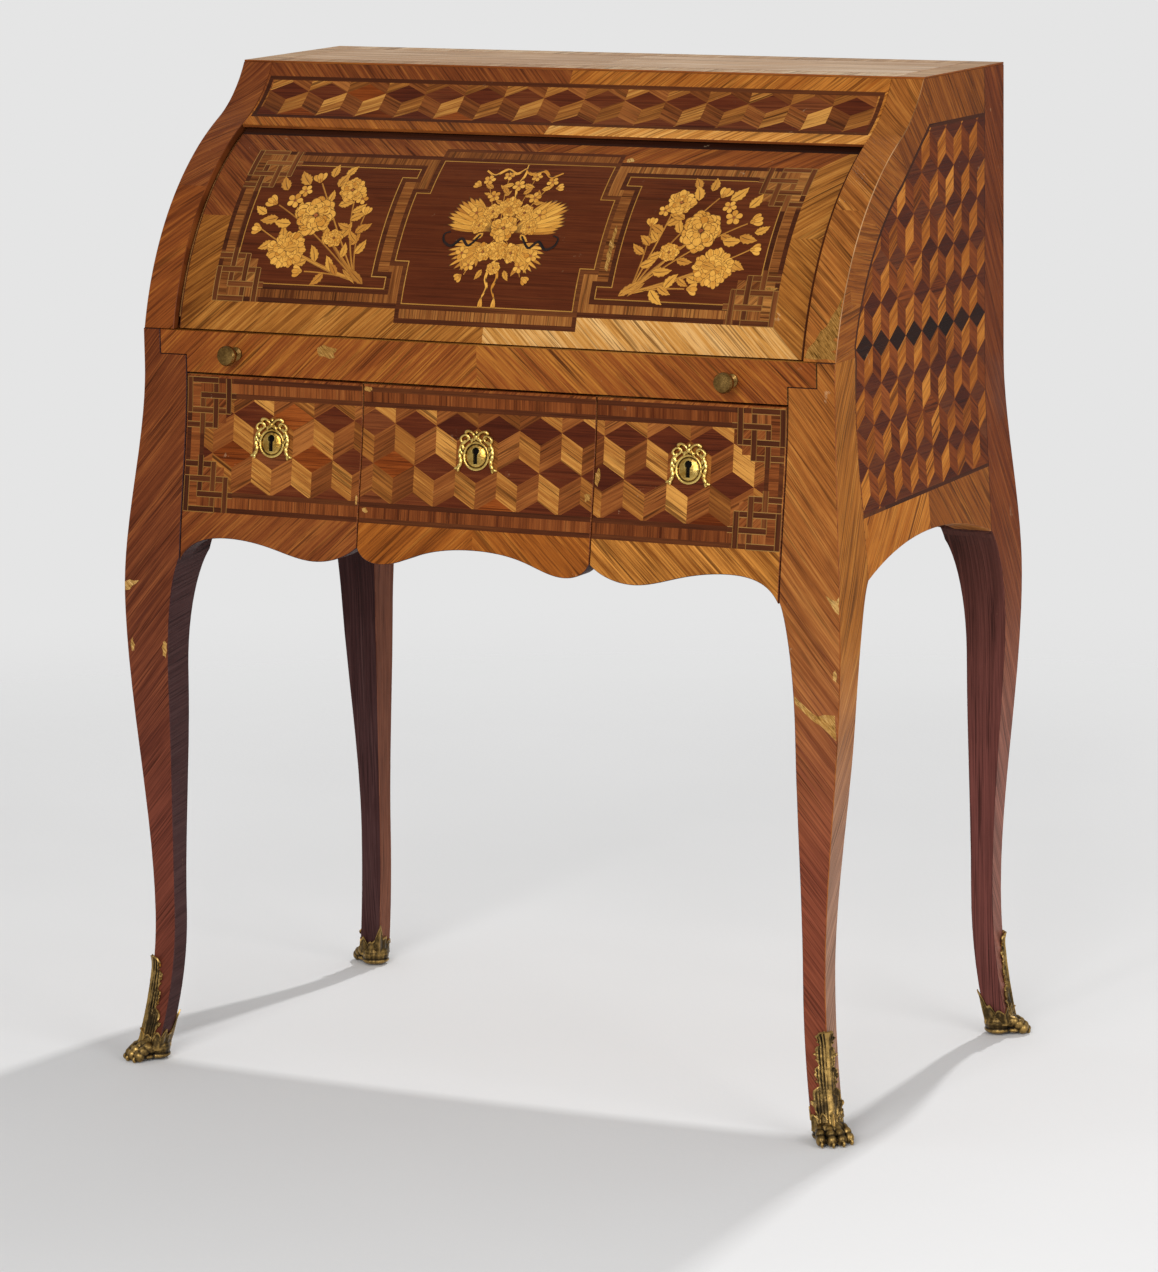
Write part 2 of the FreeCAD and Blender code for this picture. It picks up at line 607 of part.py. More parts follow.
def drawer(name, low_x, high_x, box_low, box_high, key_x):
    """One drawer: front, three walls, bottom, lock, bolt and keyhole plate."""
    mirror_it = low_x > 0
    if mirror_it:
        low_x, high_x, box_low, box_high, key_x = -high_x, -low_x, -box_high, -box_low, -key_x
    run = FLOOR_TOP + BOX_RUN_GAP
    walls = [box((box_low, FRONT_BACK_Y, run), (box_low + BOX_WALL, BOX_BACK_Y, BOX_TOP)),
             box((box_high - BOX_WALL, FRONT_BACK_Y, run), (box_high, BOX_BACK_Y, BOX_TOP)),
             box((box_low + BOX_WALL, BOX_BACK_Y - BOX_WALL, run),
                 (box_high - BOX_WALL, BOX_BACK_Y, BOX_TOP))]
    floor = run + BOX_BOTTOM_LIFT
    bottom = box((box_low + BOX_WALL, FRONT_BACK_Y, floor),
                 (box_high - BOX_WALL, BOX_BACK_Y - BOX_WALL, floor + BOX_BOTTOM_THICK))
    half = LOCK_WIDTH / 2
    lock_back = FRONT_BACK_Y + LOCK_THICK
    lock = box((key_x - half, FRONT_BACK_Y, BOX_TOP - LOCK_HEIGHT), (key_x + half, lock_back, BOX_TOP))
    bolt_y = FRONT_BACK_Y + (LOCK_THICK - BOLT_THICK) / 2
    bolt = box((key_x - BOLT_WIDTH / 2, bolt_y, BOX_TOP - BOLT_LENGTH),
               (key_x + BOLT_WIDTH / 2, bolt_y + BOLT_THICK, BOX_TOP))
    channel = box((key_x - BOLT_WIDTH / 2 - BOLT_GAP, bolt_y - BOLT_GAP, BOX_TOP - BOLT_LENGTH - BOLT_GAP),
                  (key_x + BOLT_WIDTH / 2 + BOLT_GAP, bolt_y + BOLT_THICK + BOLT_GAP, BOX_TOP))
    made = {"front": drawer_front(low_x, high_x, key_x),
            "walls": Part.makeCompound(walls),
            "bottom": bottom,
            "lock": lock.cut(channel),
            "bolt": bolt,
            "key_plate": key_plate(key_x)}
    for piece, shape in made.items():
        PIECES[name + "_drawer_" + piece] = mirrored(shape) if mirror_it else shape


def bolt_slots():
    """Mortises in the dust board for the three lock bolts."""
    bolt_y = FRONT_BACK_Y + (LOCK_THICK - BOLT_THICK) / 2
    slots = []
    for key_x in (-KEY_X, 0, KEY_X):
        half = BOLT_WIDTH / 2 + BOLT_GAP * 4
        slots.append(box((key_x - half, bolt_y - BOLT_GAP * 4, DUST_BOTTOM - BOLT_TRAVEL),
                         (key_x + half, bolt_y + BOLT_THICK + BOLT_GAP * 4, BOX_TOP + BOLT_TRAVEL + BOLT_GAP)))
    return slots


def post_notches():
    """Room for the front posts at the corners of the inner boards."""
    notch = box((POST_X, FRONT_Y - FAR, 0), (HALF, FRONT_POST_Y, CASE_HEIGHT))
    return [notch, mirrored(notch)]


def pen_drawer(name, hand):
    """Small drawer in the nest: front, three walls, bottom and knob, made for the right and mirrored."""
    low = NEST_BAY_X + NEST_BOARD / 2 + PEN_GAP
    high = INNER_X - NEST_BOARD - PEN_GAP
    base = NEST_DECK + PEN_GAP / 2
    top = SHELF_Z - PEN_GAP
    back = NEST_FRONT_Y + PEN_DEPTH
    inside = NEST_FRONT_Y + PEN_FRONT_THICK
    front = box((low, NEST_FRONT_Y, base), (high, inside, top))
    walls = [box((low, inside, base), (low + PEN_WALL, back, top)),
             box((high - PEN_WALL, inside, base), (high, back, top)),
             box((low + PEN_WALL, back - PEN_WALL, base), (high - PEN_WALL, back, top))]
    bottom = box((low + PEN_WALL, inside, base), (high - PEN_WALL, back - PEN_WALL, base + PEN_BOTTOM_THICK))
    pull = knob(PEN_KNOB_RADIUS, PEN_KNOB_STEM_RADIUS, PEN_KNOB_LENGTH,
                V((low + high) / 2, NEST_FRONT_Y, (base + top) / 2))
    made = {"front": front, "walls": Part.makeCompound(walls), "bottom": bottom, "knob": pull}
    for piece, shape in made.items():
        PIECES[name + "_pen_drawer_" + piece] = mirrored(shape) if hand == LEFT else shape


PIECES = {}


def case():
    """Sides, top, frieze, back, legs, shoes and the boards that carry slide and drawers."""
    side = side_board()
    PIECES["right_side"] = side
    PIECES["left_side"] = mirrored(side)
    PIECES["top_board"] = box((-INNER_X, TOP_FRONT_Y, TOP_UNDERSIDE), (INNER_X, BACK_Y, CASE_TOP))
    PIECES["top_veneer"] = box((-HALF, TOP_FRONT_Y, CASE_TOP), (HALF, BACK_Y, CASE_HEIGHT))
    PIECES["frieze_panel"] = frieze_panel()
    PIECES["back_panel"] = box((-INNER_X, BACK_INNER_Y, FLOOR_BOTTOM), (INNER_X, BACK_Y, TOP_UNDERSIDE))
    rail = Outline("Y", (-POST_X, FLOOR_BOTTOM)).line((-POST_X, BACK_RAIL_END_Z))
    rail.arc((0, BACK_RAIL_MID_Z), (POST_X, BACK_RAIL_END_Z)).line((POST_X, FLOOR_BOTTOM))
    PIECES["back_rail"] = rail.solid(BACK_INNER_Y, BACK_Y)
    for front in (True, False):
        word = "front" if front else "back"
        wood = leg(front)
        bronze = shoe(front, wood)
        wood = wood.cut(slide_groove()) if front else wood.cut(runner_groove())
        PIECES[word + "_right_leg"] = wood
        PIECES[word + "_left_leg"] = mirrored(wood)
        PIECES[word + "_right_shoe"] = bronze
        PIECES[word + "_left_shoe"] = mirrored(bronze)
    dust = box((-INNER_X, FRONT_Y + LIP_THICK + DUST_GAP, DUST_BOTTOM), (INNER_X, BACK_INNER_Y, DUST_TOP))
    PIECES["dust_board"] = dust.cut(post_notches() + bolt_slots())
    floor = box((-INNER_X, FLOOR_FRONT_Y, FLOOR_BOTTOM), (INNER_X, BACK_INNER_Y, FLOOR_TOP))
    PIECES["drawer_floor"] = floor.cut(post_notches())
    half = PARTITION_THICK / 2
    partition = box((DIVISION_X - half, FLOOR_FRONT_Y, FLOOR_TOP), (DIVISION_X + half, BACK_INNER_Y, DUST_BOTTOM))
    PIECES["right_partition"] = partition
    PIECES["left_partition"] = mirrored(partition)
    guide = box((POST_X, FRONT_POST_Y, FLOOR_TOP), (INNER_X, BACK_INNER_Y, FLOOR_TOP + GUIDE_HEIGHT))
    PIECES["drawer_guides"] = Part.makeCompound([guide, mirrored(guide)])


def writing_slide():
    """Pull-out board with its lip, leather and two knobs."""
    board = box((-SLIDE_HALF, FRONT_Y, SLIDE_BOTTOM), (SLIDE_HALF, FRONT_Y + SLIDE_DEPTH, SLIDE_TOP))
    front = FRONT_Y + LEATHER_SETBACK
    leather = box((-LEATHER_HALF, front, SLIDE_TOP - LEATHER_THICK),
                  (LEATHER_HALF, front + LEATHER_DEPTH, SLIDE_TOP))
    PIECES["slide_board"] = board.cut(leather)
    PIECES["slide_leather"] = leather
    reach = POST_X - DRAWER_GAP
    PIECES["slide_lip"] = box((-reach, FRONT_Y, LIP_BOTTOM), (reach, FRONT_Y + LIP_THICK, SLIDE_BOTTOM))
    seat = V(KNOB_X, FRONT_Y, SLIDE_TOP - KNOB_DROP)
    pull = knob(KNOB_RADIUS, KNOB_STEM_RADIUS, KNOB_LENGTH, seat)
    PIECES["right_slide_knob"] = pull
    PIECES["left_slide_knob"] = mirrored(pull)


def drawers():
    """Three drawers side by side between the posts."""
    half_gap = DRAWER_GAP / 2
    outer = POST_X - DRAWER_GAP
    beside = DIVISION_X + PARTITION_THICK / 2 + DRAWER_GAP
    within = DIVISION_X - PARTITION_THICK / 2 - DRAWER_GAP
    drawer("left", -outer, -DIVISION_X - half_gap, -outer, -beside, -KEY_X)
    drawer("centre", -DIVISION_X + half_gap, DIVISION_X - half_gap, -within, within, 0)
    drawer("right", DIVISION_X + half_gap, outer, beside, outer, KEY_X)


def nest():
    """Pigeonholes and two pen drawers behind the writing space."""
    PIECES["nest_floor"] = box((-INNER_X, NEST_FRONT_Y, NEST_FLOOR_Z), (INNER_X, BACK_INNER_Y, NEST_DECK))
    under = NEST_TOP_Z - NEST_BOARD
    PIECES["nest_top"] = box((-INNER_X, NEST_FRONT_Y, under), (INNER_X, BACK_INNER_Y, NEST_TOP_Z))
    uprights = []
    shelves = []
    for hand in (LEFT, RIGHT):
        for middle in (NEST_BAY_X, INNER_X - NEST_BOARD / 2):
            low = hand * middle - NEST_BOARD / 2
            uprights.append(box((low, NEST_FRONT_Y, NEST_DECK), (low + NEST_BOARD, BACK_INNER_Y, under)))
        ends = sorted((hand * (NEST_BAY_X + NEST_BOARD / 2), hand * (INNER_X - NEST_BOARD)))
        shelves.append(box((ends[0], NEST_FRONT_Y, SHELF_Z), (ends[1], BACK_INNER_Y, SHELF_Z + NEST_BOARD)))
    PIECES["nest_uprights"] = Part.makeCompound(uprights)
    PIECES["nest_shelves"] = Part.makeCompound(shelves)
    pen_drawer("left", LEFT)
    pen_drawer("right", RIGHT)


case()
PIECES["roll"] = roll()
PIECES["roll_runners"] = roll_runners()
writing_slide()
drawers()
nest()

os.makedirs("parts", exist_ok=True)
for node, shape in PIECES.items():
    shape.exportStep("parts/" + node + ".step")
    print(node, len(shape.Solids), "solids", round(shape.Volume / 1000, 1), "cm3", shape.isValid())
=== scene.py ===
"""Cylinder desk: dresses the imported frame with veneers, bronze mounts and a plain studio."""
from __future__ import annotations

import logging
import random
from contextlib import contextmanager
from dataclasses import dataclass, field, replace
from enum import Enum
from math import atan2, ceil, cos, degrees, exp, floor, hypot, pi, radians, sin, sqrt
from typing import Callable, Iterable, Iterator, Optional, Sequence, Union

import bmesh
import bpy
from mathutils.bvhtree import BVHTree
from mathutils import Matrix, Vector


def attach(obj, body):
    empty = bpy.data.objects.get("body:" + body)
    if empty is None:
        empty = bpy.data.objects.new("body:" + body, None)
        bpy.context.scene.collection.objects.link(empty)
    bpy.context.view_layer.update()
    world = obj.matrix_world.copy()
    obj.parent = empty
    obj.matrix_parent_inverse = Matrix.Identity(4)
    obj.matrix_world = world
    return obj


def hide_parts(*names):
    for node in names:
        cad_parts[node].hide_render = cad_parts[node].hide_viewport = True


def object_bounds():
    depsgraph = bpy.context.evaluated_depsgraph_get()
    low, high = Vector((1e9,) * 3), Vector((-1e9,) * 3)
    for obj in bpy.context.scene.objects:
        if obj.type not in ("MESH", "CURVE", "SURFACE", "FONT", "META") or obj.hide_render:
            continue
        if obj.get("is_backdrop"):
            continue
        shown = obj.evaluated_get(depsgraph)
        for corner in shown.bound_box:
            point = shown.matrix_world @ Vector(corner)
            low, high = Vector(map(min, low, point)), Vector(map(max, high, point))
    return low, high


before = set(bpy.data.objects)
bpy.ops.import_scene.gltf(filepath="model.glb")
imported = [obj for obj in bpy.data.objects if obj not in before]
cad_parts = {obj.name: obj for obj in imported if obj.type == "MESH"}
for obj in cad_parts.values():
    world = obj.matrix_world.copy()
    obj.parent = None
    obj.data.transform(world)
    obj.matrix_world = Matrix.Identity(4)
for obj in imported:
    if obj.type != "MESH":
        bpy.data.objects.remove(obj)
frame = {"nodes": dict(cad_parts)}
CAD_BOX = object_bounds()
LOG = logging.getLogger("desk")

MM = 0.001  # metres; surface layouts are in millimetres
TOUCH = 0.02  # millimetres that a face has to reach into a box before it is cut there
WELD = 1e-6  # metres under which two points are one
SHARP, SHORT = 0.8, 1.5  # edges past this angle in radians and length in millimetres are worn off
WAIST, DROP = 695.0, 227.0  # the case swells below this height, over so many millimetres
X, Y, Z = Vector((1, 0, 0)), Vector((0, 1, 0)), Vector((0, 0, 1))
Spot = tuple[float, float]
Box = tuple[float, float, float, float]
Spot3 = tuple[float, float, float]
Colour = tuple[float, float, float, float]
Piece, Material, Socket = bpy.types.Object, bpy.types.Material, bpy.types.NodeSocket
Value = Union["Signal", Socket, float, Sequence[float], None]


def tint(code: str) -> Colour:
    """Turns a written colour into linear light.

    Args:
        code: Six hex digits, as seen on screen.

    Returns:
        Linear red, green, blue and full alpha.
    """
    parts = [int(code[i:i + 2], 16) / 255 for i in (0, 2, 4)]
    linear = [c / 12.92 if c <= 0.04045 else ((c + 0.055) / 1.055) ** 2.4 for c in parts]
    return linear[0], linear[1], linear[2], 1.0


def shade(code: str, by: float) -> Colour:
    """Gives a written colour darker or lighter."""
    return tuple(by * part for part in tint(code)[:3]) + (1.0,)


def ease(t: float) -> float:
    """Gives the smooth step of t between 0 and 1."""
    t = min(max(t, 0.0), 1.0)
    return t * t * (3 - 2 * t)


class Signal:
    """A value socket that adds, scales and compares as a Python number does."""

    def __init__(self, graph: "Graph", socket: Socket) -> None:
        """Keeps the socket and the graph that it belongs to."""
        self.graph, self.socket = graph, socket

    def _math(self, operation: str, first: Value, second: Value) -> "Signal":
        """Adds one Math node and gives its result."""
        node = self.graph.node("Math", {"operation": operation}, {0: first, 1: second})
        return Signal(self.graph, node.outputs[0])

    def __add__(self, other: Value) -> "Signal":
        """Adds."""
        return self._math("ADD", self, other)

    def __sub__(self, other: Value) -> "Signal":
        """Subtracts."""
        return self._math("SUBTRACT", self, other)

    def __rsub__(self, other: Value) -> "Signal":
        """Subtracts, the other way round."""
        return self._math("SUBTRACT", other, self)

    def __mul__(self, other: Value) -> "Signal":
        """Multiplies."""
        return self._math("MULTIPLY", self, other)

    def step(self, low: float, high: float) -> "Signal":
        """Gives a smooth mask that rises from 0 at low to 1 at high."""
        node = self.graph.node("MapRange", {"interpolation_type": "SMOOTHSTEP"},
                               {"Value": self, "From Min": low, "From Max": high})
        return Signal(self.graph, node.outputs["Result"])


class Graph:
    """A material's nodes, written as expressions."""

    def __init__(self, name: str) -> None:
        """Starts an empty material of that name."""
        self.material = bpy.data.materials.new(name)
        self.material.use_nodes = True
        self.tree = self.material.node_tree
        self.tree.nodes.clear()

    def node(self, kind: str, settings: dict, inputs: dict) -> bpy.types.Node:
        """Adds any node.

        Args:
            kind: The node's type, without the ShaderNode that all types start with.
            settings: What is set on the node first; "stops" fills a colour ramp.
            inputs: Values or links by socket name or number.

        Returns:
            The node.
        """
        node = self.tree.nodes.new("ShaderNode" + kind)
        for key, value in settings.items():
            if key == "stops":
                ramp = node.color_ramp.elements
                while len(ramp) < len(value):
                    ramp.new(1.0)
                for stop, (place, colour) in zip(ramp, value):
                    stop.position, stop.color = place, colour
            else:
                setattr(node, key, value)
        for key, value in inputs.items():
            if isinstance(value, Signal):
                value = value.socket
            if isinstance(value, Socket):
                self.tree.links.new(value, node.inputs[key])
            elif value is not None:
                node.inputs[key].default_value = value
        return node

    def place(self) -> Socket:
        """Gives the Object coordinates."""
        return self.node("TexCoord", {}, {}).outputs["Object"]

    def grain(self) -> Socket:
        """Gives the piece's own grain map: along the grain, then across it, in metres."""
        return self.node("UVMap", {"uv_map": "grain"}, {}).outputs["UV"]

    def held(self, name: str) -> Signal:
        """Gives a value that the piece's mesh holds under that name."""
        node = self.node("Attribute", {"attribute_name": name}, {})
        return Signal(self, node.outputs["Fac"])

    def stretch(self, vector: Socket, scale: Sequence[float]) -> Socket:
        """Scales a vector by three numbers."""
        return self.node("VectorMath", {"operation": "MULTIPLY"},
                         {0: vector, 1: tuple(scale)}).outputs[0]

    def noise(self, vector: Socket, scale: float, detail: float = 2.0,
              rough: float = 0.5) -> Signal:
        """Gives cloudy noise around one half, with so many octaves."""
        node = self.node("TexNoise", {}, {"Vector": vector, "Scale": scale,
                                                    "Detail": detail, "Roughness": rough})
        return Signal(self, node.outputs["Fac"])

    def ramp(self, level: Signal, stops: Sequence[tuple[float, Union[str, Colour]]]) -> Socket:
        """Turns a level into a colour by written stops."""
        linear = [(place, tint(colour) if isinstance(colour, str) else colour) for place, colour in stops]
        return self.node("ValToRGB", {"stops": linear}, {"Fac": level}).outputs["Color"]

    def mix(self, mask: Value, under: Value, over: Value) -> Socket:
        """Lays one colour over another where the mask is one."""
        return self.node("Mix", {"data_type": "RGBA"}, {"Factor": mask, 6: under, 7: over}).outputs[2]

    def surface(self, colour: Value, rough: Value, height: Value = None, depth: float = 0.0002,
                **others: Value) -> Material:
        """Ends the material with its shader.

        Args:
            colour: The base colour.
            rough: The roughness.
            height: What the bump follows, if any.
            depth: The bump's depth in metres.
            **others: Further sockets, by name with underscores.

        Returns:
            The finished material.
        """
        inputs: dict = {"Base Color": colour, "Roughness": rough}
        inputs.update({key.replace("_", " "): value for key, value in others.items()})
        if height is not None:
            bump = self.node("Bump", {}, {"Height": height, "Strength": 1.0,
                                                    "Distance": depth})
            inputs["Normal"] = bump.outputs[0]
        shader = self.node("BsdfPrincipled", {}, inputs)
        self.node("OutputMaterial", {}, {"Surface": shader.outputs[0]})
        return self.material


class Stuff:
    """What a piece is made of; its material is made once and shared after that."""

    name: str

    def material(self, axis: Optional[int] = None) -> Material:
        """Gives the material; the grain of solid stuff follows an axis, that of veneer its own map."""
        name = self.name if axis is None else f"{self.name}_{'xyz'[axis]}"
        return bpy.data.materials.get(name) or self.paint(Graph(name), axis)

    def paint(self, g: Graph, axis: Optional[int]) -> Material:
        """Fills the empty material; each stuff does it in its own way."""
        raise NotImplementedError


@dataclass(frozen=True)
class Timber(Stuff):
    """A polished veneer or timber: its colours, its stripes and its gloss."""

    name: str
    dark: str
    body: str
    light: str
    figure: float = 0.8
    tone: float = 0.8
    stripe: float = 100.0
    streak: float = 330.0
    gloss: float = 0.36
    coat: float = 0.08
    run: float = 5.0
    foot: str = ""
    foot_top: float = 0.7
    wear: float = 0.3

    def paint(self, g: Graph, axis: Optional[int]) -> Material:
        """Paints stripes, streaks, dark veins, pores, a foot of its own colour towards the bottom and scuffs; the front
        right leg's outer face has a painted sheen as its foot.
        """
        place = g.place()
        leaf = g.grain() if axis is None else place

        def along(run: float, wide: float) -> Socket:
            """Stretches the layout along the grain."""
            if axis is None:
                return g.stretch(leaf, (run, wide, 1.0))
            return g.stretch(leaf, [run if i == axis else wide for i in range(3)])

        stripe = g.noise(along(self.run, self.stripe), 1.0, 2.0, 0.6)
        streak = g.noise(along(self.run * 2.0, self.streak * 1.3), 1.0, 4.0, 0.65)
        tone = g.noise(along(1.6, 1.6), 1.0, 0.0)
        patina = g.noise(place, 9.0, 5.0, 0.65)
        level = ((stripe - 0.5) * (1.2 * self.figure) + (streak - 0.5) * (1.8 * self.figure)
                 + (tone - 0.5) * (1.5 * self.tone) + (patina - 0.5) * 0.45 + 0.5)
        colour = g.ramp(level, ((0.0, self.dark), (0.5, self.body), (1.0, self.light)))
        dense = g.noise(along(self.run * 1.5, 45.0), 1.0, 2.0).step(0.3, 0.6)
        vein = g.noise(along(self.run * 2.2, self.streak * 1.9), 1.0, 1.0).step(0.56, 0.62) * dense
        line = g.noise(along(self.run * 1.4, self.streak * 0.8), 1.0, 2.0).step(0.58, 0.63) * dense
        pore = g.noise(along(self.run * 7, self.streak * 3.0), 1.0, 1.0).step(0.59, 0.66)
        deep = shade(self.dark, 0.3)
        colour = g.mix(vein * (0.65 * self.figure), colour, deep)
        colour = g.mix(line * (0.75 * self.figure), colour, deep)
        colour = g.mix(pore * (0.6 * self.figure), colour, tint(self.dark))
        if self.foot:
            height = Signal(g, g.node("SeparateXYZ", {}, {0: place}).outputs["Z"])
            foot = g.ramp(level, ((0.0, shade(self.foot, 0.35)), (0.5, self.foot), (1.0, shade(self.foot, 1.8))))
            colour = g.mix((1.0 - height.step(0.22, self.foot_top)) * 0.92, colour,
                           g.mix(vein * 0.7, foot, shade(self.foot, 0.2)))
        scuff = g.noise(place, 60.0, 5.0, 0.7).step(0.66, 0.72) * g.noise(place, 6.0).step(0.52, 0.66)
        colour = g.mix(scuff * self.wear, colour, tint("d3b48c"))
        rough = (streak - 0.5) * 0.14 + (patina - 0.5) * 0.2 + scuff * 0.2 + self.gloss
        return g.surface(colour, rough, streak * 0.6 - vein * 0.4 - pore * 0.4, 0.00016,
                         Coat_Weight=self.coat, Coat_Roughness=0.24, Specular_IOR_Level=0.03)


class Wood(Enum):
    """The woods of the desk, by where they are laid."""

    GOLD = Timber("golden_facet_veneer", "6c3b17", "9b6028", "c88d43", 0.9, 1.1)
    BROWN = Timber("brown_facet_veneer", "552a11", "7e451e", "9f612d", 0.8, 0.9)
    DARK = Timber("dark_lozenge_veneer", "3d170c", "582612", "774020", 0.5, 0.9)
    LINE = Timber("dark_line_veneer", "30160b", "4c2512", "6c3c1c", 0.4, 0.7)
    BAND = Timber("red_band_veneer", "4d210d", "7d421d", "9f6230", 0.7, 0.7)
    KNOT = Timber("knot_strip_veneer", "3f1d0d", "633519", "854f26", 0.5, 0.7)
    PALE = Timber("pale_string_veneer", "80541f", "a67634", "c39650", 0.3, 0.6)
    DULL = Timber("dull_string_veneer", "6a4620", "8a6230", "a57e48", 0.3, 0.6)
    TULIP = Timber("tulip_band_veneer", "4d260f", "814b21", "ab7237", 0.8, 0.6)
    CROSS = Timber("brown_crossband_veneer", "582710", "87471c", "b3732d", 0.8, 0.5)
    HONEY = Timber("honey_crossband_veneer", "7a4416", "c78338", "ecb868", 0.8, 0.5)
    AMBER = Timber("amber_crossband_veneer", "5e300e", "9a5f25", "c68a40", 0.8, 0.5)
    # A pale crossband laid as a painted highlight on the fall's lower right border.
    SUN = Timber("faded_crossband_veneer", "84501f", "be853f", "e2b575", 0.8, 0.5)
    RUST = Timber("rust_crossband_veneer", "5b2a0d", "93511b", "bd7830", 0.8, 0.5)
    COPPER = Timber("copper_facet_veneer", "783a0e", "b0641c", "d48835", 0.9, 0.9)
    RUSSET = Timber("russet_facet_veneer", "501f08", "7c3a12", "9e5421", 0.8, 0.8)
    # Black veneer for the back joints and one lozenge row, also laid as painted shadow under the frieze lip and over
    # the drawers.
    EBON = Timber("blackened_lozenge_veneer", "170a06", "2a130b", "3f2013", 0.4, 0.7)
    STILE = Timber("stile_veneer", "582d11", "9b5c26", "c6883f", 0.8, 0.6, 130.0, 430.0, foot="653024")
    SHADE = Timber("red_crossband_veneer", "4a2010", "773d1b", "a0602a", 0.8, 0.5)
    GROUND = Timber("marquetry_ground_veneer", "371709", "522410", "6e381a", 0.4, 0.5, 90.0, 300.0)
    LEG = Timber("leg_veneer", "40190c", "6f381b", "985829", 0.8, 0.5, 150.0, 500.0, foot="582b21")
    # The front right leg's outer face; its pale pinkish foot is a painted sheen.
    RUBBED = Timber("rubbed_leg_veneer", "63350f", "b06a26", "d99a46", 0.7, 0.1, 130.0, 430.0,
                    foot="9c7662", foot_top=0.5)
    AUBURN = Timber("rear_leg_veneer", "4e1c0a", "7f3e19", "a65f2a", 0.8, 0.3, 150.0, 500.0,
                    foot="84564a", foot_top=0.56)
    # A shaded and a lit copy of the inner leg wood: painted shade and painted light.
    DUSK = Timber("shaded_leg_wood", "281414", "412827", "573d3b", 0.6, 0.6, 150.0, 400.0, 0.5, 0.05)
    BUFF = Timber("pale_leg_wood", "3b2018", "653b2c", "86543f", 0.6, 0.6, 150.0, 400.0, 0.5, 0.05)
    WORN = Timber("worn_edge_veneer", "6e4220", "9c6a3c", "cfa87c", 0.6, 0.6)
    BARE = Timber("bare_loss_wood", "664318", "a6783b", "d4ab69", 0.9, 0.8, 300.0, 700.0, 0.7, 0.0, 40.0)
    INNER = Timber("inner_leg_wood", "23110e", "40251e", "5a382f", 0.6, 0.7, 150.0, 400.0, 0.5, 0.05,
                   foot="5c332e")
    # The top's pale woods are partly weathered and partly a painted sheen from the back light.
    TOP = Timber("top_board_veneer", "846040", "bb9570", "e2ceb4", 0.7, 0.35, 70.0, 240.0, 0.42, 0.1, 2.5, wear=0.75)
    OAK = Timber("oak_lining", "6a4423", "99693a", "bd8f58", 0.6, 0.5, 120.0, 420.0, 0.6, 0.0, 4.0)
    BACK = Timber("back_board_timber", "4f331e", "775133", "9a744c", 0.7, 0.7, 60.0, 240.0, 0.68, 0.0, 3.0)
    FADED = Timber("faded_top_border", "84603e", "b48d66", "d8bf9c", 0.7, 0.6, 90.0, 300.0, 0.42, 0.1, wear=0.6)


@dataclass(frozen=True)
class Metal(Stuff):
    """A cast or turned metal: worn bright on its heights, dark in its hollows."""

    name: str
    bright: str
    body: str
    hollow: str
    gloss: float = 0.3
    carved: bool = False

    def paint(self, g: Graph, axis: Optional[int]) -> Material:
        """Paints clouds and specks of wear, darker where the mesh holds a hollow."""
        place = g.place()
        cloud = g.noise(place, 70.0, 4.0, 0.6)
        speck = g.noise(place, 600.0, 3.0, 0.6)
        level = (cloud - 0.5) * 1.3 + (speck - 0.5) * 0.5 + 0.55
        if self.carved:
            level = level - g.held("hollow") * 0.9 - 0.1
        colour = g.ramp(level, ((0.0, self.hollow), (0.45, self.body), (0.9, self.bright)))
        rough = (0.5 - cloud) * 0.3 + (speck - 0.5) * 0.2 + self.gloss
        return g.surface(colour, rough, speck * 0.6 + cloud * 0.4, 0.0002, Metallic=0.9)


class Bronze(Enum):
    """The metals of the desk."""

    SHOE = Metal("shoe_bronze", "ab8a4e", "4a3a20", "120d08", 0.4, True)
    PLATE = Metal("key_plate_gilt", "e6c671", "ac8236", "2a1b08", 0.26, True)
    KNOB = Metal("turned_knob_brass", "a58046", "6a4d24", "22170a", 0.3)
    IRON = Metal("forged_lock_iron", "8a8580", "57524d", "262220", 0.45)
    # A black disc behind the keyhole, painted shade in the hole.
    SOOT = Metal("keyhole_iron", "14100d", "0b0806", "040303", 0.6)


@dataclass(frozen=True)
class Hide(Stuff):
    """Tooled writing leather."""

    name: str = "writing_hide"
    body: str = "4a1f17"
    worn: str = "7a4030"

    def paint(self, g: Graph, axis: Optional[int]) -> Material:
        """Paints the leather's fine cells and its rubbed places."""
        place = g.place()
        cells = Signal(g, g.node("TexVoronoi", {"feature": "DISTANCE_TO_EDGE"},
                                 {"Vector": place, "Scale": 700.0}).outputs["Distance"])
        wear = g.noise(place, 9.0, 5.0, 0.65)
        colour = g.mix(wear.step(0.4, 0.75), tint(self.body), tint(self.worn))
        return g.surface(colour, wear * 0.2 + 0.42, cells.step(0.0, 0.3), 0.0002)


class Dressing(Enum):
    """The writing leather and the gilding tooled into it."""

    HIDE = Hide()
    GILT = Metal("tooled_gilt", "e2bd62", "b78c3c", "5c431b", 0.34)


@dataclass(frozen=True)
class Leaf:
    """One leaf of veneer: its wood, the lean of its grain in degrees, and its key."""

    wood: Union[Wood, Dressing]
    grain: float = 0.0
    key: str = ""


@dataclass(frozen=True)
class Patch:
    """A square-cornered area of one veneer, in surface millimetres."""

    left: float
    right: float
    low: float
    high: float
    leaf: Leaf

    def holds(self, p: float, q: float) -> bool:
        """Says whether a surface point lies in the patch."""
        return self.left <= p <= self.right and self.low <= q <= self.high


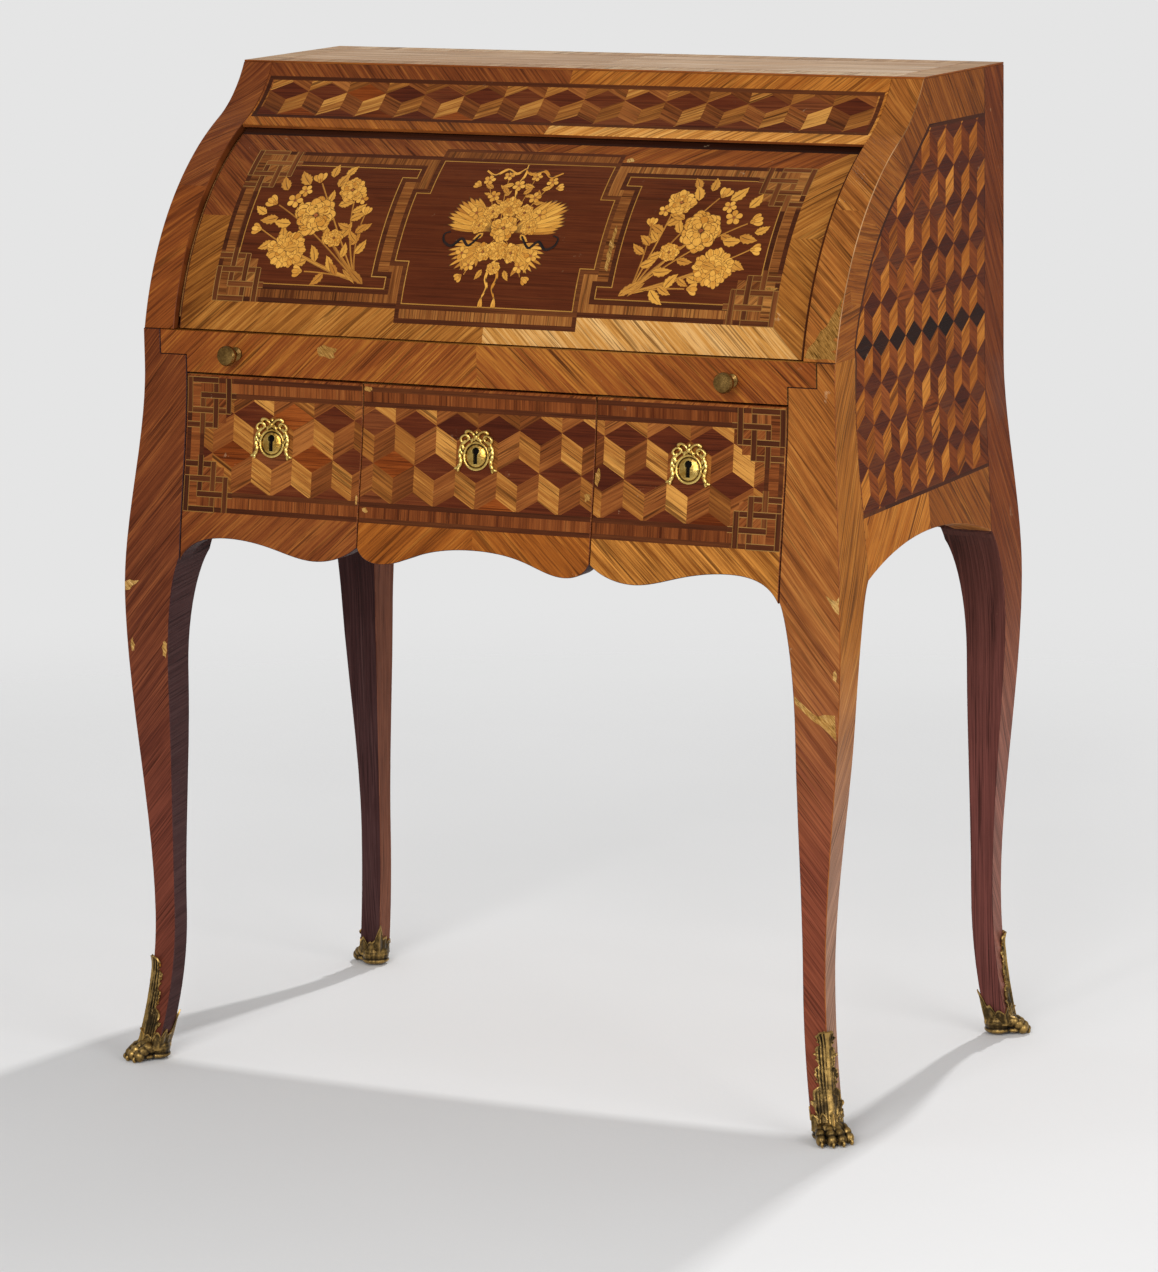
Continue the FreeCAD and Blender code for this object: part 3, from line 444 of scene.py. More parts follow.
class Face:
    """A show face, laid out across and up in millimetres."""

    across: Vector

    def plane(self, a: Spot, b: Spot) -> tuple[Vector, Vector]:
        """Gives the cutting plane through two surface points.

        Args:
            a: The line's start.
            b: The line's end.

        Returns:
            A point of the plane and its normal.
        """
        out = self.out((a[1] + b[1]) / 2)
        along = self.across * (b[0] - a[0]) + self.rise(out) * (b[1] - a[1])
        return self.point(*a), along.cross(out).normalized()


@dataclass(frozen=True)
class FlatFace(Face):
    """A nearly flat show face, laid out along two axes."""

    across: Vector
    up: Vector
    lean: float
    base: Vector = field(default_factory=Vector)

    def point(self, p: float, q: float) -> Vector:
        """Gives the space point of a surface point."""
        return self.base + (self.across * p + self.up * q) * MM

    def out(self, q: float) -> Vector:
        """Gives the outward direction, the same everywhere."""
        return self.across.cross(self.up)

    def rise(self, out: Vector) -> Vector:
        """Gives the way up."""
        return self.up

    def spot(self, co: Vector) -> Spot:
        """Gives a point's place on the face."""
        away = co - self.base
        return away.dot(self.across) / MM, away.dot(self.up) / MM

    def shows(self, co: Vector, normal: Vector) -> bool:
        """Says whether a mesh face belongs to the show face."""
        return normal.dot(self.out(0.0)) > self.lean


@dataclass(frozen=True)
class RollFace(Face):
    """The round face of the cylinder fall, laid out by width and by arc."""

    across = X
    axis_y: float = 83.8
    axis_z: float = 667.0
    radius: float = 279.0
    start: float = 12.797

    def away(self, co: Vector) -> Vector:
        """Gives a point's way from the axis."""
        return Vector((0, co.y - self.axis_y * MM, co.z - self.axis_z * MM))

    def spot(self, co: Vector) -> Spot:
        """Gives a point's place: across, then along the arc from the lower edge."""
        angle = degrees(atan2(co.z / MM - self.axis_z, self.axis_y - co.y / MM))
        return co.x / MM, radians(angle - self.start) * self.radius

    def point(self, p: float, q: float, proud: float = 0.0) -> Vector:
        """Gives the space point of a surface point, raised by so many millimetres."""
        turn = radians(self.start) + q / self.radius
        reach = self.radius + proud
        return Vector((p, self.axis_y - reach * cos(turn), self.axis_z + reach * sin(turn))) * MM

    def out(self, q: float) -> Vector:
        """Gives the outward direction at an arc place."""
        turn = radians(self.start) + q / self.radius
        return Vector((0, -cos(turn), sin(turn)))

    def rise(self, out: Vector) -> Vector:
        """Gives the way up the arc, square to the outward direction."""
        return Vector((0, out.z, -out.y))

    def shows(self, co: Vector, normal: Vector) -> bool:
        """Says whether a mesh face belongs to the round face."""
        away = self.away(co)
        return away.length > (self.radius - 3) * MM and normal.dot(away.normalized()) > 0.9

    def true(self, co: Vector) -> Vector:
        """Moves a point of the round face onto the exact arc."""
        away = self.away(co)
        if abs(away.length - self.radius * MM) > 0.4 * MM:
            return co
        away = away.normalized() * self.radius
        return Vector((co.x, away.y * MM + self.axis_y * MM, away.z * MM + self.axis_z * MM))


def clear() -> None:
    """Leaves edit mode and deselects everything."""
    if bpy.context.object and bpy.context.object.mode != "OBJECT":
        bpy.ops.object.mode_set(mode="OBJECT")
    bpy.ops.object.select_all(action="DESELECT")


def take(piece: Piece) -> None:
    """Makes one piece the only selected and active one."""
    clear()
    piece.select_set(True)
    bpy.context.view_layer.objects.active = piece


@contextmanager
def editing(piece: Piece, kind: str = "FACE", action: str = "SELECT") -> Iterator[None]:
    """Opens a piece in edit mode, with all or none of it selected, and closes it again."""
    take(piece)
    bpy.ops.object.mode_set(mode="EDIT")
    bpy.ops.mesh.select_mode(type=kind)
    bpy.ops.mesh.select_all(action=action)
    yield
    bpy.ops.object.mode_set(mode="OBJECT")


def stand(name: str, data: bpy.types.ID) -> Piece:
    """Puts a new object with that data in the scene."""
    made = bpy.data.objects.new(name, data)
    bpy.context.scene.collection.objects.link(made)
    return made


def join(parts: Sequence[Piece]) -> Piece:
    """Joins parts into the first one, with its place in its mesh."""
    take(parts[0])
    for part in parts:
        part.select_set(True)
    bpy.ops.object.join()
    bpy.ops.object.transform_apply(location=True, rotation=True, scale=True)
    return parts[0]


def work_in(piece: Piece, kind: str, **settings: object) -> None:
    """Adds a modifier to a piece and applies it."""
    take(piece)
    added = piece.modifiers.new(kind.lower(), kind)
    for key, value in settings.items():
        setattr(added, key, value)
    bpy.ops.object.modifier_apply(modifier=added.name)


def copy_of(node: str, name: str) -> Piece:
    """Copies a node's mesh into a new merged piece with no materials yet."""
    piece = stand(name, frame["nodes"][node].data.copy())
    piece.data.materials.clear()
    take(piece)
    bpy.ops.mesh.customdata_custom_splitnormals_clear()
    with editing(piece):
        bpy.ops.mesh.remove_doubles(threshold=WELD)
    return piece


def smooth(piece: Piece, angle: float) -> None:
    """Shades a piece smooth up to an angle in degrees."""
    take(piece)
    bpy.ops.object.shade_smooth_by_angle(angle=radians(angle))


def settle(piece: Piece, body: str, slot: str, *nodes: str) -> None:
    """Hands a finished piece to the frame.

    Args:
        piece: The piece.
        body: The body that it rides on.
        slot: Not used.
        *nodes: The nodes that it stands for.
    """
    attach(piece, body)
    if nodes:
        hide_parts(*nodes)
    LOG.info("%s rides on %s, %d faces", piece.name, body, len(piece.data.polygons))


def reaches(spots: Sequence[Spot], box: Box) -> bool:
    """Says whether a face with these corners reaches into a box."""
    ps, qs = zip(*spots)
    return (max(ps) > box[0] + TOUCH and min(ps) < box[1] - TOUCH
            and max(qs) > box[2] + TOUCH and min(qs) < box[3] - TOUCH)


def span(a: Spot, b: Spot, by: float = 0.0) -> Box:
    """Gives the box round two surface points, grown by so much."""
    (left, right), (low, high) = sorted((a[0], b[0])), sorted((a[1], b[1]))
    return left - by, right + by, low - by, high + by


class Veneering:
    """A veneered copy of a part: cut along the joints of its leaves, then laid leaf by leaf."""

    def __init__(self, name: str, node: str, face: Face, stock: str = "",
                 edge: float = 0.6) -> None:
        """Copies the node and softens its edges.

        Args:
            name: The piece's name.
            node: The node that it stands for.
            face: The face that carries the pattern.
            stock: The stock that its leaves are cut from; its name if none is given.
            edge: How far the sharp edges are worn off, in millimetres.
        """
        self.piece = copy_of(node, name)
        if edge:
            self.wear(edge)
        self.face, self.node, self.stock = face, node, stock or name
        self.woods: list[Wood] = []
        self.piece.data.uv_layers.new(name="grain")

    def wear(self, edge: float) -> None:
        """Takes the sharp edges off, by so many millimetres."""
        with editing(self.piece, "EDGE", "DESELECT"):
            mesh = bmesh.from_edit_mesh(self.piece.data)
            for line in mesh.edges:
                if line.is_manifold and line.calc_length() > SHORT * MM and line.calc_face_angle(0.0) > SHARP:
                    line.select_set(True)
            bmesh.update_edit_mesh(self.piece.data)
            bpy.ops.mesh.bevel(offset=edge * MM, segments=1, affect="EDGES")

    def cut(self, a: Spot, b: Spot, box: Optional[Box] = None,
            inside: Optional[Callable[[float, float], bool]] = None) -> None:
        """Cuts the show face along a straight line.

        Args:
            a: The line's start.
            b: The line's end.
            box: Only faces that reach into this box are cut.
            inside: Only faces whose middle passes this test are cut.
        """
        if self.piece.mode != "EDIT":
            take(self.piece)
            bpy.ops.object.mode_set(mode="EDIT")
            bpy.ops.mesh.select_mode(type="FACE")
        bpy.ops.mesh.select_all(action="DESELECT")
        mesh = bmesh.from_edit_mesh(self.piece.data)
        point, normal = self.face.plane(a, b)
        some = False
        for face in mesh.faces:
            sides = [(v.co - point).dot(normal) for v in face.verts]
            if min(sides) > -2 * WELD or max(sides) < 2 * WELD:
                continue
            middle = face.calc_center_median()
            if not self.face.shows(middle, face.normal):
                continue
            if inside and not inside(*self.face.spot(middle)):
                continue
            if box and not reaches([self.face.spot(v.co) for v in face.verts], box):
                continue
            face.select_set(True)
            some = True
        if some:
            bmesh.update_edit_mesh(self.piece.data)
            bpy.ops.mesh.bisect(plane_co=point, plane_no=normal, threshold=WELD)

    def cut_patches(self, patches: Iterable[Patch]) -> None:
        """Cuts the show face along the edges of patches, in their order."""
        for patch in patches:
            box = (patch.left, patch.right, patch.low, patch.high)
            for p in box[:2]:
                self.cut((p, patch.low), (p, patch.high), (p - 0.1, p + 0.1, patch.low, patch.high))
            for q in box[2:]:
                self.cut((patch.left, q), (patch.right, q), (patch.left, patch.right, q - 0.1, q + 0.1))

    def true(self, fit: Callable[[Vector], Vector]) -> None:
        """Moves each point to the true place that fit gives for it."""
        clear()
        for point in self.piece.data.vertices:
            point.co = fit(point.co)

    def lay(self, choose: Callable[[float, float], Leaf], rest: Callable[[Vector, Vector], Leaf],
            curl: Optional[Callable[[Vector], Spot]] = None) -> None:
        """Gives every face its wood and its grain.

        Args:
            choose: Picks the leaf at a place of the show face.
            rest: Picks the leaf of any other face by its middle and normal.
            curl: Gives the layout place of a point on other faces that bend.
        """
        clear()
        mesh = self.piece.data
        uv = mesh.uv_layers["grain"].data
        for poly in mesh.polygons:
            middle, normal = poly.center.copy(), poly.normal.copy()
            shown = self.face.shows(middle, normal)
            leaf = choose(*self.face.spot(middle)) if shown else rest(middle, normal)
            if leaf.wood not in self.woods:
                self.woods.append(leaf.wood)
                mesh.materials.append(leaf.wood.value.material())
            poly.material_index = self.woods.index(leaf.wood)
            dice = random.Random(f"{self.stock} {leaf.key} {leaf.wood.name}")
            off_u, off_v = dice.uniform(0, 9), dice.uniform(0, 9)
            turn = radians(leaf.grain)
            c, s = cos(turn), sin(turn)
            big = max(range(3), key=lambda i: abs(normal[i]))
            for loop in poly.loop_indices:
                co = mesh.vertices[mesh.loops[loop].vertex_index].co
                if shown:
                    p, q = self.face.spot(co)
                elif curl:
                    p, q = curl(co)
                else:
                    p, q = [co[i] / MM for i in range(3) if i != big]
                uv[loop].uv = ((p * c + q * s) * MM + off_u, (q * c - p * s) * MM + off_v)

    def finish(self, body: str, slot: str = "veneered_wood", angle: float = 30.0) -> None:
        """Smooths the piece up to an angle and hands it over in its node's place."""
        smooth(self.piece, angle)
        settle(self.piece, body, slot, self.node)


@dataclass(frozen=True)
class Cubes:
    """Cube parquetry: dark lozenges on top, a golden and a brown facet below each."""

    pitch: float
    half: float
    centre: Spot
    golden_right: bool
    pale: Wood = Wood.GOLD
    brown: Wood = Wood.BROWN
    black_row: Optional[int] = None

    def lines(self, box: Box) -> Iterable[tuple[Spot, Spot]]:
        """Gives the joints that cross a box.

        Args:
            box: Left, right, low and high, in surface millimetres.

        Returns:
            Start and end of each joint.
        """
        left, right, low, high = box
        p0, q0 = self.centre
        step = self.pitch / 2
        for k in range(ceil((left - p0) / step), floor((right - p0) / step) + 1):
            yield (p0 + k * step, low), (p0 + k * step, high)
        rise = self.half / step
        for sign in (1, -1):
            reach = [q - q0 - sign * rise * (p - p0) for p in (left, right) for q in (low, high)]
            first = ceil((min(reach) / self.half - 1) / 2)
            last = floor((max(reach) / self.half - 1) / 2)
            for j in range(first, last + 1):
                lift = q0 + self.half * (2 * j + 1)
                yield ((left, lift + sign * rise * (left - p0)), (right, lift + sign * rise * (right - p0)))

    def leaf(self, p: float, q: float) -> Leaf:
        """Gives the leaf at a surface point.

        Args:
            p: Across.
            q: Up.

        Returns:
            The lozenge or facet there, with its own key.
        """
        x, z = (p - self.centre[0]) / (self.pitch / 2), (q - self.centre[1]) / self.half
        slope = degrees(atan2(self.half, self.pitch / 2))
        row = floor(z / 3)
        for r in range(row - 1, row + 3):
            base = floor(x)
            for c in (base - 1, base, base + 1, base + 2):
                if (c - r) % 2 or abs(x - c) > 1:
                    continue
                if abs(x - c) + abs(z - 3 * r) <= 1:
                    mixed = Wood.RUSSET if random.Random(f"{c} {r}").random() < 0.14 else Wood.DARK
                    return Leaf(Wood.EBON if r == self.black_row else mixed, 0.0, f"{c} {r} top")
                edge = 3 * r - 1 + abs(x - c)
                if edge - 2 <= z <= edge:
                    right = x > c
                    wood = self.pale if right == self.golden_right else self.brown
                    return Leaf(wood, slope if right else -slope, f"{c} {r} {right}")
        return Leaf(Wood.DARK, 0.0, "gap")


STRIPS = ((0.0, 4.8), (14.6, 19.4), (29.2, 34.0), (43.4, 48.2))
STRIP_EDGE = 0.7


def knot(corner: Spot, inward: Spot, dark: Wood, ground: Wood, fine: Wood = Wood.DULL) -> list[Patch]:
    """Lays out the interlaced corner of a banded frame.

    Args:
        corner: The frame's outer corner.
        inward: Plus or minus one on each axis, towards the panel.
        dark: The wood of the strips.
        ground: The wood between them.
        fine: The wood of their edges.

    Returns:
        The strips with their pale edges, the lowest first.
    """
    (a0, a1), (b0, b1), (c0, c1), (d0, d1) = STRIPS
    lines = [((d0 - 2, d1 + 3), (a0, a1), 0), ((a0, a1), (d0 - 2, d1 + 3), 0),
             ((a0, c1), (d0, d1), 1), ((b0, b1), (b0, d1 + 6), 1), ((a0, d1), (c0, c1), 1),
             ((c0, c1), (a0, d1), 1), ((b0, d1 + 6), (b0, b1), 1), ((d0, d1), (a0, c1), 1),
             ((a0, c1), (a0, a1), 1), ((a0, a1), (a0, c1), 1)]
    patches = []

    def add(across: Spot, up: Spot, leaf: Leaf) -> None:
        """Adds one patch, turned to its corner."""
        ps = sorted(corner[0] + inward[0] * v for v in across)
        qs = sorted(corner[1] + inward[1] * v for v in up)
        patches.append(Patch(*ps, *qs, leaf))

    for p_gap in ((a1, b0), (b1, c0), (c1, d0)):
        for q_gap in ((a1, b0), (b1, c0), (c1, d0)):
            add(p_gap, q_gap, Leaf(ground, 45.0, f"knot {p_gap} {q_gap}"))
    add((a1, d0), (a1, b0), Leaf(ground, 90.0, "knot band"))
    add((a1, b0), (a1, d0), Leaf(ground, 0.0, "knot side"))
    for count, (across, up, edged) in enumerate(lines):
        level = across[1] - across[0] > up[1] - up[0]
        if edged:
            wide, tall = (0, STRIP_EDGE) if level else (STRIP_EDGE, 0)
            add((across[0] - wide, across[1] + wide), (up[0] - tall, up[1] + tall),
                Leaf(fine, 0.0 if level else 90.0, "edge"))
        add(across, up, Leaf(dark, 0.0 if level else 90.0, f"strip {count} {corner}"))
    return patches


def rings(box: Box, steps: Sequence[tuple[float, Leaf]]) -> list[Patch]:
    """Gives patches inside each other, each drawn in from the box by its own inset."""
    left, right, low, high = box
    return [Patch(left + inset, right - inset, low + inset, high - inset, leaf) for inset, leaf in steps]


def top_leaf(patches: Sequence[Patch], p: float, q: float) -> Optional[Leaf]:
    """Finds the uppermost patch's leaf at a surface point, if any."""
    for patch in reversed(patches):
        if patch.holds(p, q):
            return patch.leaf
    return None


def swell(z: float) -> float:
    """Gives the share of the case's swelling at a height in millimetres."""
    return ease((WAIST - z) / DROP)


def front_bow(z: float) -> float:
    """Gives the front's y at a height, both in millimetres."""
    return -195.5 - 25.0 * swell(z)


def side_bow(y: float, z: float) -> float:
    """Gives the side's distance from the middle at a place, in millimetres."""
    share = min(max((y + 151.5) / 305.5, 0.0), 1.0)
    return 370.0 + (15.0 - 7.0 * share) * swell(z)


@dataclass
class CylinderFall:
    """The quarter-round fall with its marquetry panels."""

    face: RollFace = field(default_factory=RollFace)
    side_edge: float = 300.6
    low: float = 29.6
    high: float = 201.6
    seam: float = 118.0
    end: float = 340.0
    # Inner edge of the painted shade at the fall's ends, and foot of the painted shadow under the frieze lip.
    grime: Spot = (332.6, 225.5)
    centre_wide: Box = (-112.0, 112.0, 72.0, 158.0)
    centre_tall: Box = (-97.0, 97.0, 29.6, 200.6)

    def layout(self) -> list[Patch]:
        """Gives the bands, frames, knots, grounds and painted shadow strips, the lowest first."""
        patches: list[Patch] = []
        for hand in (-1, 1):
            def put(x0: float, x1: float, low: float, high: float, leaf: Leaf) -> None:
                """Adds a patch on this hand; x runs from the outer end inwards."""
                ends = sorted((hand * x0, hand * x1))
                patches.append(Patch(*ends, low, high, leaf))

            put(self.side_edge, 96.0, self.low, self.high, Leaf(Wood.LINE, 0, f"outer {hand}"))
            put(295.8, 96.0, 34.6, 196.6, Leaf(Wood.TULIP, 90, f"band {hand}"))
            put(295.8, 286.6, 34.6, 196.6, Leaf(Wood.TULIP, 0, f"end band {hand}"))
            put(125.0, 112.0, 64.0, 168.0, Leaf(Wood.TULIP, 0, f"inner band {hand}"))
            grounds = ((279.6, 129.4, 48.8, 182.0), (279.6, 113.6, 171.6, 182.0), (279.6, 113.6, 48.8, 59.6))
            for grow, wood in ((6.0, Wood.LINE), (1.0, Wood.PALE), (0.0, Wood.GROUND)):
                for x0, x1, low, high in grounds:
                    put(x0 + grow, x1 - grow, low - grow, high + grow, Leaf(wood, 0, f"panel {hand}"))
            for level, inward in ((self.high, -1), (self.low, 1)):
                patches += knot((hand * self.side_edge, level), (-hand, inward), Wood.KNOT, Wood.TULIP)
        side, top = self.grime
        # Painted shadow: a black strip under the frieze lip and dark strips along both ends of the fall, where shade
        # falls.
        patches += [Patch(-self.end, self.end, top, 260, Leaf(Wood.EBON, 0, "upper grime")),
                    Patch(-self.end, -side, -30, top, Leaf(Wood.LINE, 90, "left grime")),
                    Patch(side, self.end, -30, top, Leaf(Wood.LINE, 90, "right grime")),
                    Patch(-96.5, 96.5, 200.6, 213.2, Leaf(Wood.LINE, 0, "crest")),
                    Patch(-92.0, 92.0, 200.6, 209.2, Leaf(Wood.TULIP, 90, "crest band")),
                    Patch(-97.5, 97.5, 15.8, 29.6, Leaf(Wood.LINE, 0, "foot")),
                    Patch(-92.8, 92.8, 20.6, 29.6, Leaf(Wood.TULIP, 90, "foot band"))]
        for grow, wood in ((0.0, Wood.LINE), (-4.8, Wood.PALE), (-5.8, Wood.GROUND)):
            for box in (self.centre_tall, self.centre_wide):
                patches += rings(box, ((-grow, Leaf(wood, 0, "centre")),))
        return patches

    def border(self, p: float, q: float) -> Leaf:
        """Gives the leaf of the crossbanded border at a place; the right hand's leaves are lighter, partly as painted
        light, and the lower right leaf is a painted highlight.
        """
        hand = -1 if p < 0 else 1
        out = abs(p) - self.side_edge
        if q < 30 and out < 30 - q:
            # The lower right leaf is a painted highlight.
            return Leaf(Wood.AMBER if p < 0 else Wood.SUN, -42.0 * hand, f"low {hand}")
        if q > 201 and out < q - 201:
            return Leaf(Wood.SHADE if p < 0 else Wood.CROSS, 40.0 * hand, f"high {hand}")
        if q < self.seam:
            return Leaf(Wood.AMBER, -38.0 * hand, f"end low {hand}")
        return Leaf(Wood.SHADE if p < 0 else Wood.AMBER, 40.0 * hand, f"end high {hand}")

    def build(self) -> None:
        """Cuts and dresses the fall."""
        work = Veneering("fall_veneer", "roll", self.face)
        patches = self.layout()
        work.cut_patches(patches)
        work.cut((0.0, -5.0), (0.0, 16.0), (-1, 1, -30, 15.8))
        work.cut((0.0, 213.0), (0.0, 260.0), (-1, 1, 213.2, 300))
        for hand in (-1, 1):
            near, far = hand * self.side_edge, hand * 345
            for start, end, box in ((self.low, (hand * 336.0, -5.8), span((near, -30), (far, self.low))),
                                    (self.high, (hand * 336.0, 237.0), span((near, self.high), (far, 300))),
                                    (self.seam, (far, self.seam), span((near, self.seam - 1), (far, self.seam + 1)))):
                work.cut((near, start), end, box)
        work.true(self.face.true)

        def rest(co: Vector, normal: Vector) -> Leaf:
            """Picks the leaf of the inside and the edges."""
            inside = self.face.out(self.face.spot(co)[1]).dot(normal) < -0.5
            return Leaf(Wood.OAK if inside else Wood.LINE, 0, "inside")

        work.lay(lambda p, q: top_leaf(patches, p, q) or self.border(p, q), rest)
        work.finish("roll")


@dataclass
class Drawer:
    """A frieze drawer's front: banded cube parquetry over a crossbanded apron."""

    name: str
    left: float
    right: float
    ends: tuple[int, ...]
    cubes: Cubes = Cubes(44.7, 12.9, (22.35, 649.6), False)
    frame: Spot = (554.0, 683.2)
    band: Spot = (558.8, 678.4)
    rim: Spot = (688.4, 692.0)
    panel: Spot = (573.8, 664.0)
    inset: float = 1.2

    def layout(self) -> list[Patch]:
        """Gives the bands and knots, the lowest first."""
        left, right, key = self.left, self.right, self.name
        reach = {hand: (self.inset, 6.0, 16.0, 20.6) if hand in self.ends else (0, 0, 0, 0) for hand in (-1, 1)}

        def band(step: int, low: float, high: float, leaf: Leaf) -> Patch:
            """Makes a band that steps in at banded ends."""
            return Patch(left + reach[-1][step], right - reach[1][step], low, high, leaf)

        patches = [band(0, self.frame[1], self.rim[0], Leaf(Wood.SHADE, 45, f"{key} rim")),
                   band(0, *self.rim, Leaf(Wood.EBON, 0, f"{key} shadow")),
                   band(0, *self.frame, Leaf(Wood.LINE, 0, f"{key} outer")),
                   band(1, *self.band, Leaf(Wood.BAND, 90, f"{key} band"))]
        for hand in self.ends:
            edge = left if hand < 0 else right
            ends = sorted((edge - hand * 6.0, edge - hand * 16.0))
            patches.append(Patch(*ends, *self.band, Leaf(Wood.BAND, 0, f"{key} end")))
        patches += [band(2, 569.0, 668.8, Leaf(Wood.LINE, 0, f"{key} inner")),
                    band(3, *self.panel, Leaf(Wood.DARK, 0, "field"))]
        for hand in self.ends:
            edge = (left if hand < 0 else right) - hand * self.inset
            for level, inward in ((self.frame[1], -1), (self.frame[0], 1)):
                patches += knot((edge, level), (-hand, inward), Wood.LINE, Wood.BAND)
        return patches

    def apron(self, p: float) -> Leaf:
        """Gives the leaf of the crossbanded apron; it runs lighter from left to right, partly as painted light."""
        hand = -1 if p < 0 else 1
        # Lighter woods towards the right are partly painted light.
        wood = {"left": Wood.SHADE, "centre": Wood.RUST}.get(self.name, Wood.HONEY)
        return Leaf(wood, -42.0 * hand, f"{self.name} apron {hand}")

    def build(self) -> None:
        """Cuts and dresses the drawer front."""
        work = Veneering(f"{self.name}_drawer_veneer", f"{self.name}_drawer_front", FlatFace(X, Z, 0.8))
        patches = self.layout()
        work.cut_patches(patches)
        box = (self.left, self.right, *self.panel)
        in_field = lambda p, q: (top_leaf(patches, p, q) or Leaf(Wood.LINE)).key == "field"
        for a, b in self.cubes.lines(box):
            work.cut(a, b, None, in_field)
        if self.left < 0 < self.right:
            work.cut((0, 480), (0, self.frame[0]), (-1, 1, 400, self.frame[0]))

        def fit(co: Vector) -> Vector:
            """Moves front points onto the true bow."""
            bow = front_bow(co.z / MM) * MM
            return Vector((co.x, bow, co.z)) if abs(co.y - bow) < 0.3 * MM else co

        def choose(p: float, q: float) -> Leaf:
            """Picks the leaf at a place of the front."""
            leaf = top_leaf(patches, p, q) or self.apron(p)
            return self.cubes.leaf(p, q) if leaf.key == "field" else leaf

        def rest(co: Vector, normal: Vector) -> Leaf:
            """Picks the leaf of the edges and the back."""
            shown = Wood.SHADE if co.y < -0.19 else Wood.OAK
            # Faces turned down take the shaded wood as painted shade.
            return Leaf(Wood.DUSK if normal.z < -0.2 else shown, 0, "edge")

        work.true(fit)
        work.lay(choose, rest)
        work.finish(f"{self.name}_drawer")


@dataclass
class SideBoard:
    """One end of the case: cube parquetry inside a crossbanded S-shaped border."""

    name: str
    hand: int
    cubes: Cubes = Cubes(37.9, 12.5, (-16.6, 885.4), True, Wood.COPPER, Wood.RUSSET, -4)
    arc: float = 247.0
    line: float = 3.6
    centre: Spot = (83.8, 667.0)
    top: float = 929.0
    corner: Spot = (20.8, 929.0)
    foot_front: Spot = (-160.4, 578.5)
    foot_back: Spot = (167.0, 585.0)
    head_back: float = 158.5
    middle: Spot = (40.0, 740.0)
    knee: Spot = (-150.3, 722.0)
    slide: float = 726.0
    foot: float = 560.0
    seams: Sequence[tuple[Spot, Spot]] = (
        ((3, 480), (3, 582)), ((-190, 560), (-150, 560)), ((155, 560), (210, 560)), ((-200, 726), (-145, 726)),
        ((158.5, 929), (158.5, 980)))

    def outline(self, inset: float) -> list[Spot]:
        """Gives the panel's outline, drawn in by an inset, from the front foot up and round.

        Args:
            inset: How far in, in millimetres.

        Returns:
            The outline's corners, front side first, in the order front, top, back, foot.
        """
        arc = self.arc - inset
        turn = [radians(17 + 3 * k) for k in range(15)]
        path = [(self.foot_front[0] + inset, self.foot_front[1] + inset), (self.knee[0] + inset, self.knee[1])]
        path += [(self.centre[0] - arc * cos(t), self.centre[1] + arc * sin(t)) for t in turn]
        path += [(self.corner[0] + inset * 0.5, self.top - inset), (self.head_back - inset, self.top - inset),
                 (self.foot_back[0] - inset, self.foot_back[1] + inset)]
        return path

    @staticmethod
    def inside(path: Sequence[Spot], p: float, q: float) -> bool:
        """Says whether a point lies inside an outline."""
        hit = False
        for (x0, y0), (x1, y1) in zip(path, list(path[1:]) + [path[0]]):
            if (y0 > q) != (y1 > q) and p < (x1 - x0) * (q - y0) / (y1 - y0) + x0:
                hit = not hit
        return hit

    def cross(self, p: float, q: float) -> Leaf:
        """Gives the leaf of the border at a place."""
        out = degrees(atan2(q - self.centre[1], self.centre[0] - p))
        if q > self.top and p > 10:
            return Leaf(Wood.RUST, 130.0, "head")
        if p > 155 and q > self.foot:
            return Leaf(Wood.CROSS, 125.0, "rear")
        if q > self.slide:
            part = int((out - 8) / 18)
            return Leaf(Wood.RUST, 180 - (8 + part * 18 + 9) + 25, f"bow {part}")
        if p < -140 and q > self.foot:
            return Leaf(Wood.COPPER, 70.0, "front")
        return Leaf(Wood.COPPER, 45.0, "foot front") if p < 3 else Leaf(Wood.RUST, 135.0, "foot rear")

    def build(self) -> None:
        """Cuts and dresses the end."""
        work = Veneering(f"{self.name}_side_veneer", f"{self.name}_side", FlatFace(Y * self.hand, Z, 0.8))
        outer, inner = self.outline(0.0), self.outline(self.line)
        flip = lambda s: (s[0] * self.hand, s[1])
        for path in (outer, inner):
            for corner in path[1:-2]:
                away, near = (flip([at + (at - mid) * by for at, mid in zip(corner, self.middle)])
                              for by in (0.3, -0.08))
                work.cut(near, away, span(near, away))
        for path in (outer, inner):
            for a, b in zip(path, path[1:] + path[:1]):
                work.cut(flip(a), flip(b), span(flip(a), flip(b), 0.2))
        lattice = self.cubes if self.hand > 0 else replace(self.cubes, centre=flip(self.cubes.centre),
                                                           golden_right=False, black_row=None)
        for a, b in lattice.lines(span(flip((-165.0, 575.0)), flip((170.0, 932.0)))):
            work.cut(a, b, None, lambda p, q: self.inside(inner, p * self.hand, q))
        for a, b in self.seams:
            work.cut(flip(a), flip(b), span(flip(a), flip(b), 0.2),
                     lambda p, q: not self.inside(outer, p * self.hand, q))

        def fit(co: Vector) -> Vector:
            """Moves outer points onto the true bow of the end."""
            bow = side_bow(co.y / MM, co.z / MM) * MM
            return Vector((self.hand * bow, co.y, co.z)) if abs(abs(co.x) - bow) < 0.4 * MM else co

        def choose(p: float, q: float) -> Leaf:
            """Picks the leaf at a place of the outer face."""
            y = p * self.hand
            if self.inside(inner, y, q):
                return lattice.leaf(p, q)
            if self.inside(outer, y, q):
                return Leaf(Wood.LINE, 90.0 if y < -100 or y > 150 else 0.0, "line")
            leaf = self.cross(y, q)
            return Leaf(leaf.wood, leaf.grain if self.hand > 0 else 180 - leaf.grain, leaf.key)

